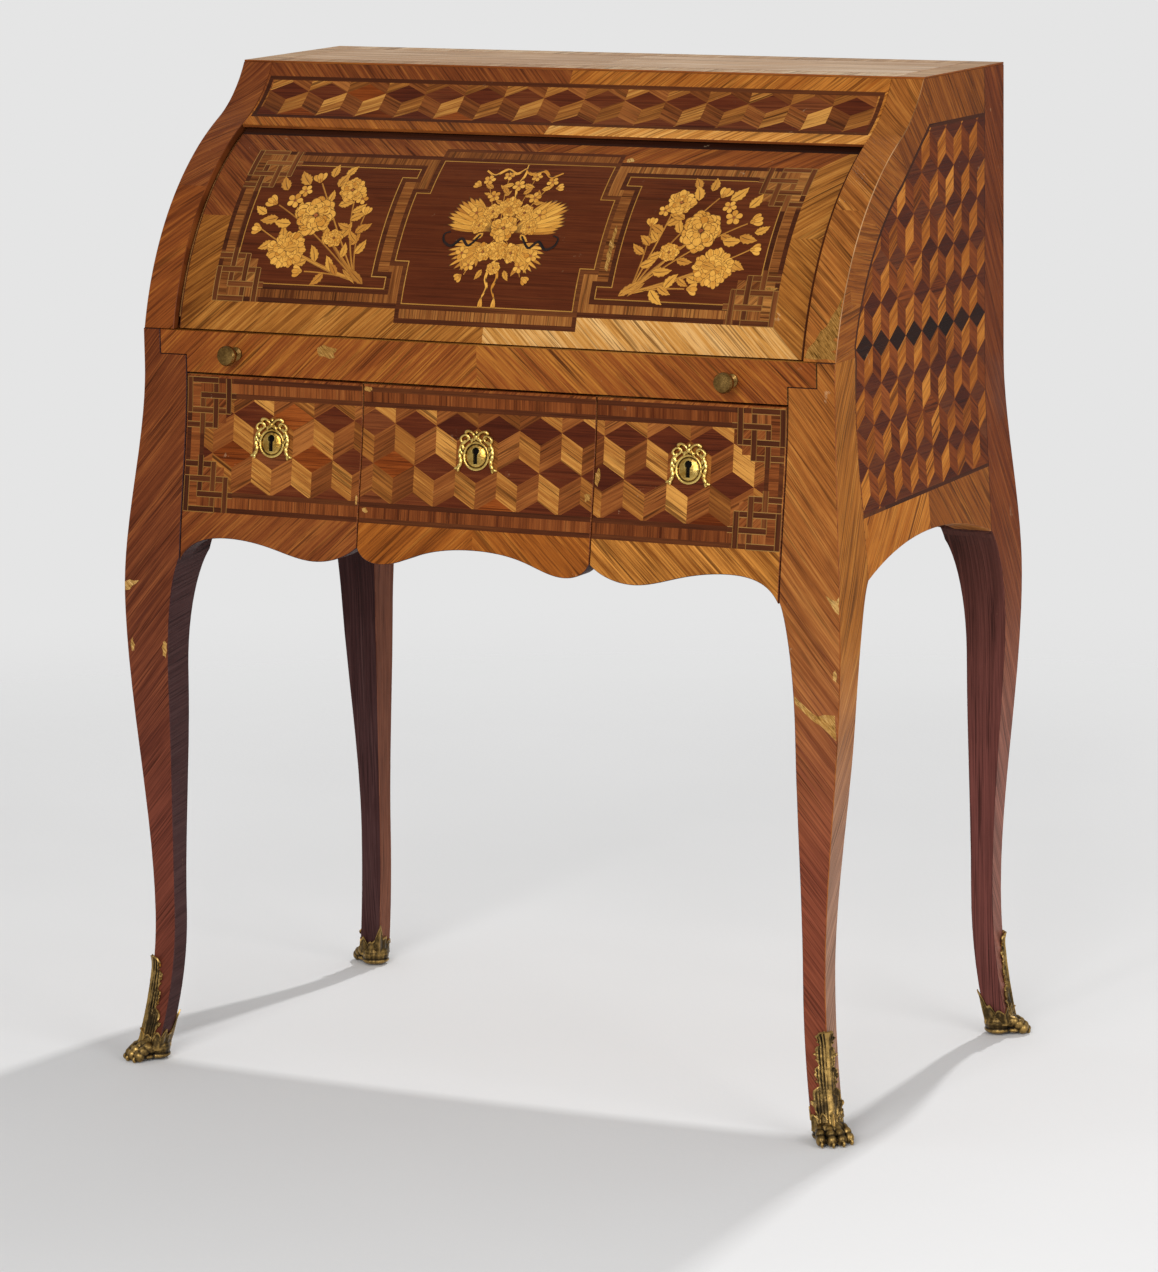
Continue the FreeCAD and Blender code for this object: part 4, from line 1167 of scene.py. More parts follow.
        def rest(co: Vector, normal: Vector) -> Leaf:
            """Picks the leaf of the edges and the inner face."""
            if normal.x * self.hand < -0.6:
                return Leaf(Wood.OAK if co.z < 0.72 else Wood.SHADE, 90.0, "inside")
            if normal.x * self.hand > 0.4 and co.z > 0.7:
                return Leaf(Wood.WORN, 90.0, "worn")
            low = co.z < 0.86
            # The right end's edge takes a lighter wood than the left's, partly as painted light.
            wood = Wood.STILE if self.hand > 0 else (Wood.CROSS if low else Wood.LEG)
            return Leaf(wood, -42.0 * self.hand, f"edge {low}")

        def curl(co: Vector) -> Spot:
            """Unrolls the S-shaped front edge."""
            turn = atan2(co.z / MM - self.centre[1], self.centre[0] - co.y / MM)
            return co.x / MM, 284.0 * turn if co.z > 0.72 else co.z / MM - 650.0

        work.true(fit)
        work.lay(choose, rest, curl)
        work.finish("case")


@dataclass
class Frieze:
    """The hollow frieze over the fall: one row of cubes between crossbands."""

    lip: Spot = (-54.13, 915.83)
    head: Spot = (9.0, 974.0)
    half: float = 330.0
    line: float = 4.4
    frame: Spot = (14.0, 69.6)
    row: Spot = (18.4, 65.0)
    cubes: Cubes = Cubes(43.8, 10.9, (0.0, 52.0), True)

    def build(self) -> None:
        """Cuts and dresses the frieze."""
        rise = Vector((0, self.head[0] - self.lip[0], self.head[1] - self.lip[1])).normalized()
        face = FlatFace(X, rise, 0.55, Vector((0, *self.lip)) * MM)
        work = Veneering("frieze_veneer", "frieze_panel", face)
        low, high = self.frame
        patches = [Patch(-self.half - self.line, self.half + self.line, low, high, Leaf(Wood.LINE, 0, "frame")),
                   Patch(-self.half, self.half, *self.row, Leaf(Wood.DARK, 0, "field"))]
        work.cut_patches(patches)
        for a, b in self.cubes.lines((-self.half, self.half, *self.row)):
            work.cut(a, b, None, patches[1].holds)
        work.cut((0, -5), (0, low), (-1, 1, -20, low))
        work.cut((0, high), (0, 90), (-1, 1, high, 100))

        def choose(p: float, q: float) -> Leaf:
            """Picks the leaf at a place of the frieze."""
            leaf = top_leaf(patches, p, q)
            if leaf and leaf.key == "field":
                return self.cubes.leaf(p, q)
            hand, high = -1 if p < 0 else 1, q > 40
            # The right hand's bands are lighter than the left's, partly as painted light.
            woods = (Wood.SHADE, Wood.RUST) if high else (Wood.RUST, Wood.HONEY)
            return leaf or Leaf(woods[hand > 0], 44.0 * hand, f"cross {hand} {high}")

        work.lay(choose, lambda co, normal: Leaf(Wood.SHADE if normal.y < 0 else Wood.OAK, 0, "edge"))
        work.finish("case", angle=40)


@dataclass
class Leg:
    """A cabriole leg: veneered show faces and dark inner faces."""

    name: str
    side: int
    front: int

    def build(self) -> None:
        """Dresses the leg face by face."""
        work = Veneering(f"{self.name}_leg_veneer", f"{self.name}_leg", FlatFace(X, Z, 0.8))

        def front(p: float, q: float) -> Leaf:
            """Picks the leaf of the front face."""
            if self.front < 0:
                # The back left leg's inner front is painted shade.
                return Leaf(Wood.DUSK if self.side < 0 else Wood.INNER, 90.0, "inner front")
            # The right front face takes a lighter wood than the left, partly as painted light.
            return Leaf(Wood.STILE if self.side > 0 else Wood.LEG, 90 + 40.0 * self.side, "front")

        def rest(co: Vector, normal: Vector) -> Leaf:
            """Picks the leaf of the outer, inner and back faces."""
            if normal.x * self.side > 0.8:
                # The front right leg's outer face takes the wood with a painted sheen at its foot.
                outer = Wood.AUBURN if self.front < 0 else (Wood.RUBBED if self.side > 0 else Wood.STILE)
                return Leaf(outer, 90 - 30.0 * self.front * self.side, "outer")
            if normal.x * self.side > 0.3 and normal.y * self.front < -0.3:
                return Leaf(Wood.CROSS, 90.0, "worn corner")
            # The left legs' inner sides: painted shade on the front leg, painted light on the back leg.
            if self.side < 0 and normal.x > 0.5:
                return Leaf(Wood.DUSK, 8.0, "inner side") if self.front > 0 else Leaf(Wood.BUFF, 90.0, "inner side")
            return Leaf(Wood.INNER, 90.0, "inner")

        work.lay(front, rest)
        work.finish("case", angle=35)


@dataclass
class WritingSlide:
    """The sliding board with its crossbanded front and leather."""

    seam: float = -2.0

    def build(self) -> None:
        """Dresses the board and its lip."""
        for node in ("slide_board", "slide_lip"):
            work = Veneering(f"{node}_veneer", node, FlatFace(X, Z, 0.9), "slide", 0.0)
            work.cut((self.seam, 600), (self.seam, 800))

            def choose(p: float, q: float) -> Leaf:
                """Picks the leaf of the front edge."""
                hand = -1 if p < self.seam else 1
                return Leaf(Wood.CROSS, -42.0 * hand, f"slide {hand}")

            work.lay(choose, lambda co, normal: Leaf(Wood.AMBER if normal.z > 0.5 else Wood.OAK, 0, "board"))
            work.finish("writing_slide")


@dataclass
class FlatBoard:
    """A flat board with a layout of boards, bands or tooled lines on its show face."""

    name: str
    node: str
    body: str
    slot: str
    across: Vector
    up: Vector
    patches: Sequence[Patch]
    edge: Leaf

    def build(self) -> None:
        """Cuts and dresses the board."""
        work = Veneering(self.name, self.node, FlatFace(self.across, self.up, 0.8), edge=0.4)
        work.cut_patches(self.patches)
        work.lay(lambda p, q: top_leaf(self.patches, p, q) or self.edge, lambda co, normal: self.edge)
        work.finish(self.body, self.slot)


def flat_boards() -> list[FlatBoard]:
    """Lays out the back, the top, the leather and the fronts of the pen drawers."""
    joints = (-338.0, -224.0, -109.0, 6.0, 117.0, 232.0, 338.0)
    back = [Patch(-338, 338, 540, 960, Leaf(Wood.EBON, 90, "joint"))]
    back += [Patch(a + 0.6, b - 0.6, 540, 960, Leaf(Wood.BACK, 90, f"board {a}")) for a, b in zip(joints, joints[1:])]
    # Pale top woods, partly a painted sheen.
    top = [Patch(-371, 371, 8, 202, Leaf(Wood.FADED, 0, "end band")),
           Patch(-340, 340, 8, 40, Leaf(Wood.FADED, 90, "front band")),
           Patch(-340, 340, 170, 202, Leaf(Wood.FADED, 90, "back band")),
           Patch(-340, 340, 40, 170, Leaf(Wood.WORN, 0, "line")),
           Patch(-336.5, 0, 43.5, 166.5, Leaf(Wood.TOP, 0, "left leaf")),
           Patch(0, 336.5, 43.5, 166.5, Leaf(Wood.TOP, 0, "right leaf"))]
    hide, gilt = Leaf(Dressing.HIDE, 0, "hide"), Leaf(Dressing.GILT, 0, "gilt")
    leather = rings((-290, 290, -168.5, 16.5), ((0, hide), (6.0, gilt), (7.6, hide), (10.4, gilt), (11.2, hide),
                                                (17.0, gilt), (17.9, hide)))
    boards = [FlatBoard("back_boards", "back_panel", "case", "inner_wood", -X, Z, back, Leaf(Wood.BACK, 90, "edge")),
              FlatBoard("top_veneering", "top_veneer", "case", "veneered_wood", X, Y, top, Leaf(Wood.CROSS, 0, "edge")),
              FlatBoard("tooled_leather", "slide_leather", "writing_slide", "writing_leather", X, Y, leather, hide)]
    for side, left in (("left", -330.4), ("right", 113.6)):
        front = rings((left, left + 216.8, 737.8, 789.4),
                      ((-1.0, Leaf(Wood.RUST, 90, "band")), (8.0, Leaf(Wood.LINE, 0, "line")),
                       (9.4, Leaf(Wood.PALE, 0, "string")), (10.4, Leaf(Wood.HONEY, 0, "field"))))
        boards.append(FlatBoard(f"{side}_pen_front", f"{side}_pen_drawer_front", f"{side}_pen_drawer", "veneered_wood",
                                X, Z, front, Leaf(Wood.SHADE, 0, "edge")))
    return boards


@dataclass(frozen=True)
class InlayWood(Stuff):
    """A marquetry wood, scorched at the base of its petals with hot sand."""

    name: str
    light: str
    body: str
    scorched: str

    def paint(self, g: Graph, axis: Optional[int]) -> Material:
        """Paints fine fibres and the scorching that the mesh holds."""
        leaf, place = g.grain(), g.place()
        fibre = g.noise(g.stretch(leaf, (90, 900, 1)), 1.0, 2.0)
        tone = g.noise(g.stretch(leaf, (2.0, 2.0, 1)), 1.0, 0.0)
        level = (fibre - 0.5) * 1.2 + (tone - 0.5) * 1.4 + 0.5
        colour = g.ramp(level, ((0.1, self.body), (0.8, self.light)))
        scorch = (g.held("scorch") + (g.noise(place, 300.0, 3.0) - 0.5) * 0.3).step(0.2, 0.85)
        colour = g.mix(scorch * 0.95, colour, tint(self.scorched))
        return g.surface(colour, (fibre - 0.5) * 0.15 + 0.36, fibre, 0.0001,
                         Coat_Weight=0.1, Coat_Roughness=0.22, Specular_IOR_Level=0.2)


class Inlay(Enum):
    """The marquetry woods."""

    PETAL = InlayWood("petal_inlay", "dfa445", "b67522", "3d1a08")
    LEAF = InlayWood("leaf_inlay", "d0953a", "a66821", "3d1a08")
    STEM = InlayWood("stem_inlay", "bd8232", "99601f", "4d230d")
    RED = InlayWood("red_inlay", "a9602a", "83401a", "3d180b")
    BLACK = InlayWood("black_inlay", "2a1610", "190c08", "0c0604")


class Form(Enum):
    """The outline of a blade: how its half width goes from base to tip."""

    LEAF = "leaf"
    PETAL = "petal"

    def width(self, t: float) -> float:
        """Gives the half width's share at a share of the length."""
        if self is Form.LEAF:
            return sin(pi * t ** 0.8) * (0.82 - 0.15 * t + 0.34 * (t * 4.99 % 1.0))
        return sin(pi * min(t, 0.985) ** 1.5) ** 0.7 if t > 0 else 0.12

    def scorch(self, t: float, k: float) -> float:
        """Gives the scorching at a share of the length and of the half width."""
        rim = abs(k) == 1
        if self is Form.LEAF:
            return 1.0 - 0.4 * t if k == 0 else (0.7 if rim else max(0.0, 0.5 * k - 0.3 * t))
        return max(0.0, 0.9 - 2.0 * t) + (1.0 if rim else 0.0) * (t > 0.2) + 0.9 * (t > 0.99)


def polar(at: Spot, angle: float, reach: float, squash: float = 1.0) -> Spot:
    """Gives the surface point at so many degrees and so far from another."""
    turn = radians(angle)
    return at[0] + cos(turn) * reach, at[1] + sin(turn) * reach * squash


ACROSS = (-1.0, -0.74, -0.18, 0.0, 0.18, 0.74, 1.0)


class Marquetry:
    """Inlaid blades, flowers and ribbons, laid on the round face of the fall."""

    BASE, LAYER, PLAY = 0.10, 0.05, 0.04  # millimetres that the lowest strip and each layer stand proud

    def __init__(self, face: RollFace, seed: str) -> None:
        """Starts an empty sheet of inlay."""
        self.face, self.dice = face, random.Random(seed)
        self.points: list[Vector] = []
        self.faces: list[tuple[int, ...]] = []
        self.scorch: list[float] = []
        self.spots: list[Spot] = []
        self.woods: list[Inlay] = []

    def strip(self, path: Sequence[Spot], widths: Sequence[float], wood: Inlay, layer: int,
              scorch: Callable[[float, float], float]) -> None:
        """Lays one strip of inlay along a path.

        Args:
            path: Points along its middle.
            widths: Half widths at these points.
            wood: Its wood.
            layer: How many layers lie below it.
            scorch: The scorching at a share of the length and of the half width, left below zero.
        """
        proud = self.BASE + self.LAYER * layer + self.dice.uniform(0, self.PLAY)
        start = len(self.points)
        shift = (self.dice.uniform(0, 5), self.dice.uniform(0, 5))
        last = len(path) - 1
        run = 0.0
        for i, (p, q) in enumerate(path):
            before, after = path[max(i - 1, 0)], path[min(i + 1, last)]
            d = (after[0] - before[0], after[1] - before[1])
            size = hypot(*d) or 1.0
            side = (-d[1] / size, d[0] / size)
            if i:
                run += hypot(p - path[i - 1][0], q - path[i - 1][1])
            for k in ACROSS:
                reach = widths[i] * k
                self.points.append(self.face.point(p + side[0] * reach, q + side[1] * reach, proud))
                self.scorch.append(scorch(i / last, k))
                self.spots.append((run * MM + shift[0], reach * MM + shift[1]))
        for i in range(last):
            for k in range(len(ACROSS) - 1):
                a = start + i * len(ACROSS) + k
                self.faces.append((a, a + len(ACROSS), a + len(ACROSS) + 1, a + 1))
                self.woods.append(wood)

    def blade(self, at: Spot, angle: float, length: float, width: float, wood: Inlay, layer: int,
              form: Form = Form.LEAF, curve: float = 0.0) -> None:
        """Lays one leaf or petal.

        Args:
            at: Its base.
            angle: Its direction in degrees.
            length: Its length.
            width: Its full width.
            wood: Its wood.
            layer: How many layers lie below it.
            form: Its outline.
            curve: How far it turns along its length, in degrees.
        """
        path, steps = [at], 15 if form is Form.LEAF and length > 11 else 8
        for i in range(steps):
            path.append(polar(path[-1], angle + curve * (i + 0.5) / steps - curve / 2, length / steps))
        widths = [max(form.width(i / steps) * width / 2, 0.12) for i in range(steps + 1)]
        self.strip(path, widths, wood, layer, form.scorch)

    def petal(self, at: Spot, angle: float, length: float, width: float, layer: int) -> None:
        """Lays one broad petal with a scalloped end."""
        for lean, reach in ((-20, 0.88), (20, 0.9), (0, 1.0)):
            self.blade(at, angle + lean + self.dice.uniform(-4, 4), length * reach, width * 0.62,
                       Inlay.PETAL, layer, Form.PETAL)

    def rose(self, at: Spot, size: float, layer: int = 3) -> None:
        """Lays a full rose of three rings."""
        rings = ((7, 1.0, 0.86), (6, 0.72, 0.7), (4, 0.46, 0.54))
        for ring, (count, reach, wide) in enumerate(rings):
            for k in range(count):
                angle = 360 * k / count + ring * 25 + self.dice.uniform(-8, 8)
                self.petal(polar(at, angle, 0.15 * size * reach), angle,
                           size * reach * self.dice.uniform(0.76, 0.94), size * wide, layer + ring)
        self.blade((at[0] - size * 0.1, at[1]), 0, size * 0.2, size * 0.2, Inlay.RED, layer + 4)

    def pink(self, at: Spot, size: float, angle: float, layer: int = 3) -> None:
        """Lays a ragged carnation that opens along an angle."""
        for ring, (count, start, reach) in enumerate(((11, 0.42, 0.6), (8, 0.2, 0.52), (5, 0.05, 0.4))):
            for k in range(count):
                turn = angle + 360 * (k + ring / 2) / count + self.dice.uniform(-6, 6)
                self.petal(polar(at, turn, size * start, 0.86), turn,
                           size * reach * self.dice.uniform(0.85, 1.12), size * 0.5, layer + ring)
        self.blade(polar(at, angle, -0.6 * size), angle, size * 0.75, size * 0.4, Inlay.LEAF, layer + 3)

    def star(self, at: Spot, size: float, layer: int = 3) -> None:
        """Lays a small open flower."""
        lean = self.dice.uniform(0, 70)
        for k in range(5):
            self.blade(at, lean + 72 * k, size, size * 0.75, Inlay.PETAL, layer, Form.PETAL)
        self.blade((at[0] - size * 0.18, at[1]), 0, size * 0.36, size * 0.36, Inlay.RED, layer + 1)

    def bud(self, at: Spot, angle: float, size: float, layer: int = 3) -> None:
        """Lays a closed bud in its cup."""
        for lean in (-26, 26, 0):
            self.blade(at, angle + lean, size, size * 0.5, Inlay.PETAL, layer + (lean == 0), Form.PETAL)
        self.blade(at, angle, size * 0.45, size * 0.45, Inlay.LEAF, layer + 2)

    def stem(self, path: Sequence[Spot], width: float = 0.9, leaves: int = 3, size: float = 13.0,
             foot: float = 1.0) -> None:
        """Lays a curved stem with leaves on both sides.

        Args:
            path: Start, bend and end.
            width: Its full width.
            leaves: How many leaves it carries.
            size: The length of a leaf.
            foot: How much thicker it is at its foot.
        """
        steps = 16
        shares = [i / steps for i in range(steps + 1)]
        curve = [tuple((1 - t) ** 2 * a + 2 * t * (1 - t) * b + t * t * c for a, b, c in zip(*path)) for t in shares]
        self.strip(curve, [width / 2 * (1 + (foot - 1) * max(0.0, 1 - 1.6 * t)) for t in shares],
                   Inlay.STEM, 0, lambda t, k: 0.5 if k > 0 else 0.0)
        for n in range(leaves):
            i = int(steps * (0.42 + 0.52 * n / max(leaves, 1)))
            (a, b), (c, d) = curve[i], curve[i + 1]
            lean = degrees(atan2(d - b, c - a))
            hand = 1 if n % 2 else -1
            long = size * self.dice.uniform(0.75, 1.1)
            self.blade((a, b), lean + hand * self.dice.uniform(38, 62), long, long * 0.5, Inlay.LEAF, 1,
                       curve=-hand * 30)

    def fan(self, at: Spot, angle: float, size: float, span: float, count: int) -> None:
        """Lays a spread of long feathers."""
        for k in range(count):
            turn = angle + span * (k / (count - 1) - 0.5)
            reach = size * (0.8 + 0.2 * sin(pi * (k + 0.5) / count)) * self.dice.uniform(0.93, 1.05)
            self.blade(at, turn, reach, size * 0.092, Inlay.PETAL if k % 2 else Inlay.LEAF, 1 + k % 2, Form.PETAL)

    def ribbon(self, path: Sequence[Spot], width: float, wood: Inlay, layer: int) -> None:
        """Lays a waving ribbon through points."""
        fine: list[Spot] = []
        for i in range(len(path) - 1):
            before, a = path[max(i - 1, 0)], path[i]
            b, after = path[i + 1], path[min(i + 2, len(path) - 1)]
            for step in range(5):
                t = step / 5
                fine.append(tuple(0.5 * (2 * a[n] + (b[n] - before[n]) * t
                                         + (2 * before[n] - 5 * a[n] + 4 * b[n] - after[n]) * t * t
                                         + (3 * a[n] - before[n] - 3 * b[n] + after[n]) * t ** 3) for n in (0, 1)))
        fine.append(path[-1])
        count = len(fine) - 1
        self.strip(fine, [width / 2 * (0.55 + 0.45 * sin(pi * min(1, i / count + 0.1)))
                          for i in range(count + 1)], wood, layer,
                   lambda t, k: 0.5 + 0.5 * sin(t * 19) if k >= 0 else 0.2)

    def build(self, name: str) -> None:
        """Makes the sheet of inlay a piece of the fall, under that name."""
        mesh = bpy.data.meshes.new(name)
        mesh.from_pydata(self.points, [], self.faces)
        piece = stand(name, mesh)
        held = mesh.attributes.new("scorch", "FLOAT", "POINT")
        held.data.foreach_set("value", self.scorch)
        uv = mesh.uv_layers.new(name="grain").data
        used = list(dict.fromkeys(self.woods))
        for wood in used:
            mesh.materials.append(wood.value.material())
        for poly, wood in zip(mesh.polygons, self.woods):
            poly.material_index = used.index(wood)
            for loop in poly.loop_indices:
                uv[loop].uv = self.spots[mesh.loops[loop].vertex_index]
        for poly in mesh.polygons:
            if poly.normal.dot(self.face.out(self.face.spot(poly.center)[1])) < 0:
                poly.flip()
        settle(piece, "roll", "veneered_wood")


@dataclass
class FallInlay:
    """The flower sprays of the two side panels, laid out for the right one, and the hung bouquet between them."""

    face: RollFace = field(default_factory=RollFace)
    root: Spot = (147.0, 56.0)
    stems: Sequence[tuple[Spot, Spot, int, float]] = (
        ((172, 84), (206, 118), 1, 2.6), ((186, 64), (224, 84), 1, 2.2), ((168, 104), (172, 150), 3, 1.6),
        ((184, 116), (214, 160), 3, 1.6), ((206, 108), (252, 132), 3, 1.5), ((158, 92), (154, 124), 3, 1.5),
        ((214, 76), (262, 104), 3, 1.4), ((176, 62), (204, 62), 2, 1.4))
    stars: Sequence[Spot3] = ((163, 143, 7.0), (236, 138, 9.0), (228, 150, 7.5))
    buds: Sequence[Box] = (
        (216, 160, 70, 14.0), (254, 133, 25, 14.0), (262, 104, 5, 12.0), (154, 124, 95, 11.0), (206, 62, 0, 12.0))
    leaves: Sequence[Box] = (
        (226, 158, 50, 19), (194, 156, 112, 17), (186, 134, 165, 15), (232, 112, 5, 17), (224, 100, -42, 15),
        (248, 118, -12, 17), (204, 168, 92, 15), (168, 118, 152, 15), (204, 74, -20, 13), (248, 150, 62, 17),
        (262, 122, 30, 14), (190, 170, 120, 14), (158, 104, 140, 14), (246, 92, -30, 15))

    def spray(self, hand: int) -> None:
        """Lays the spray of one side panel.

        Args:
            hand: Minus one for the left panel, one for the right.
        """
        sheet = Marquetry(self.face, f"spray {hand}")

        def at(x: float, s: float) -> Spot:
            """Turns a place of the right panel to this hand."""
            return hand * x, s

        def lean(angle: float) -> float:
            """Turns a direction of the right panel to this hand."""
            return angle if hand > 0 else 180 - angle

        for bend, tip, leaves, wide in self.stems:
            sheet.stem((at(*self.root), at(*bend), at(*tip)), wide, leaves, 19.0, 2.0 if wide > 2 else 1.2)
        sheet.blade(at(137, 52), lean(38), 26, 8.5, Inlay.STEM, 1)
        sheet.rose(at(207, 122), 23.5)
        sheet.pink(at(229, 84), 21.5, lean(-15))
        sheet.rose(at(177, 153), 15.5)
        for x, s, size in self.stars:
            sheet.star(at(x, s), size)
        sheet.rose(at(180, 98), 10.5)
        for x, s, angle, size in self.buds:
            sheet.bud(at(x, s), lean(angle), size)
        for x, s, angle, size in self.leaves:
            sheet.blade(at(x, s), lean(angle), size * 1.15, size * 0.66, Inlay.LEAF, 2, curve=28 * hand)
        for k in range(3):
            sheet.blade(at(self.root[0] + 9 + 3 * k, self.root[1] + 4 + 3 * k), lean(196 + 13 * k), 17 + 2 * k, 4.2,
                        Inlay.STEM, 1)
        sheet.build(f"{'left' if hand < 0 else 'right'}_spray_inlay")

    def bouquet(self) -> None:
        """Lays the bouquet of the middle panel, hung from a ribbon."""
        sheet = Marquetry(self.face, "bouquet")
        for hand in (-1, 1):
            turn = 0 if hand > 0 else 180
            sheet.fan((hand * 8, 112), turn + hand * 27, 60, 50, 13)
            sheet.fan((hand * 12, 98), turn - hand * 26, 42, 62, 9)
            for path, wide, wood, layer in (
                    (((0, 188), (8, 181), (20, 186), (30, 178), (41, 184)), 3.6, Inlay.PETAL, 5),
                    (((3, 78), (6, 64), (3, 54), (7, 44)), 3.0, Inlay.PETAL, 2),
                    (((22, 108), (32, 96), (41, 103), (50, 95), (59, 99), (61, 107), (55, 110)), 3.0, Inlay.BLACK, 8)):
                sheet.ribbon([(hand * x, s) for x, s in path], wide, wood, layer)
            for lean in (-9, 0, 9):
                sheet.blade((hand * 7, 46), -90 + lean, 12, 2.4, Inlay.PETAL, 3, Form.PETAL)
            for start, bend, tip, leaves, size in ((100, (20, 140), (34, 170), 4, 10),
                                                   (100, (12, 150), (14, 176), 4, 10),
                                                   (110, (24, 84), (30, 66), 3, 11)):
                sheet.stem(((0, start), (hand * bend[0], bend[1]), (hand * tip[0], tip[1])), 1.0, leaves, size)
            for x, s, size in ((34, 172, 6.5), (15, 178, 6.0), (22, 152, 7.0), (27, 76, 6.5)):
                sheet.star((hand * x, s), size)
            sheet.star((hand * 34, 132), 8.0, 4)
            sheet.rose((hand * 27, 118), 9.5, 4)
            sheet.star((hand * 37, 88), 7.5, 4)
            sheet.rose((hand * 15, 90), 10.5)
            sheet.rose((hand * 17, 134), 10.0)
            sheet.bud((hand * 40, 164), turn + hand * 20, 9)
            sheet.bud((hand * 32, 66), turn - hand * 40, 9)
            for k, (x, s) in enumerate(((8, 156), (26, 162), (30, 140), (6, 168),
                                        (20, 110), (12, 72), (24, 100), (36, 82))):
                sheet.blade((hand * x, s), turn + hand * (50 - 22 * k), 12, 6, Inlay.LEAF, 2, curve=20 * hand)
        sheet.ribbon([(0, 194), (1.5, 180), (-1.5, 165), (1.5, 150), (0, 135)], 2.6, Inlay.PETAL, 2)
        sheet.rose((0, 116), 15.0, 4)
        sheet.pink((0, 140), 13.0, 90, 3)
        sheet.pink((0, 92), 12.0, -90, 3)
        sheet.star((0, 166), 7.0, 4)
        sheet.rose((0, 74), 7.5, 4)
        sheet.build("bouquet_inlay")


def mark_hollows(piece: Piece, gain: float) -> None:
    """Stores on each point how deep it lies between its neighbours.

    Args:
        piece: The piece.
        gain: How strongly a hollow counts.
    """
    mesh = piece.data
    work = bmesh.new()
    work.from_mesh(mesh)
    work.normal_update()
    level = []
    for point in work.verts:
        near = [edge.other_vert(point).co for edge in point.link_edges]
        if not near:
            level.append(0.0)
            continue
        mean = sum(near, Vector()) / len(near)
        size = sum((co - point.co).length for co in near) / len(near) or 1.0
        level.append((mean - point.co).dot(point.normal) / size)
    work.verts.ensure_lookup_table()
    for _ in range(4):
        level = [(level[v.index] + sum(level[e.other_vert(v).index] for e in v.link_edges) / len(v.link_edges)) / 2
                 if v.link_edges else 0.0 for v in work.verts]
    work.free()
    held = mesh.attributes.new("hollow", "FLOAT", "POINT")
    held.data.foreach_set("value", [min(max(v * gain, -0.4), 1.0) for v in level])


def start(add: Callable, at: Sequence[float] = (0, 0, 0), **settings: object) -> Piece:
    """Adds a form at a place in millimetres and gives it."""
    clear()
    add(location=Vector(at) * MM, **settings)
    return bpy.context.object


def coat(piece: Piece, *stuffs: Enum) -> None:
    """Gives a piece its materials, in that order."""
    piece.data.materials.clear()
    for stuff in stuffs:
        piece.data.materials.append(stuff.value.material())


def ball(at: Sequence[float], size: Sequence[float], turn: float = 0.0) -> Piece:
    """Adds one rounded lump, in millimetres.

    Args:
        at: Its middle.
        size: Its half sizes.
        turn: Its turn about the upright, in degrees.

    Returns:
        The lump.
    """
    lump = start(bpy.ops.mesh.primitive_uv_sphere_add, at, segments=16, ring_count=10, radius=1.0,
                 rotation=(0, 0, radians(turn)))
    lump.scale = Vector(size) * MM
    return lump


def fuse(parts: Sequence[Piece], name: str, grain: float, rounds: int) -> Piece:
    """Joins lumps and casts them as one skin.

    Args:
        parts: The lumps.
        name: The casting's name.
        grain: The cell of the skin, in millimetres.
        rounds: How often it is smoothed.

    Returns:
        The casting.
    """
    cast = join(parts)
    cast.name = cast.data.name = name
    work_in(cast, "REMESH", mode="VOXEL", voxel_size=grain * MM)
    work_in(cast, "SMOOTH", factor=0.5, iterations=rounds)
    return cast


def place_copy(master: Piece, name: str, to: Matrix) -> Piece:
    """Copies a master's mesh to its place; the place goes into the copy's mesh."""
    mesh = master.data.copy()
    mesh.transform(to)
    mesh.name = name
    return stand(name, mesh)


def scrap(piece: Piece) -> None:
    """Takes a master off the bench."""
    bpy.data.objects.remove(piece, do_unlink=True)


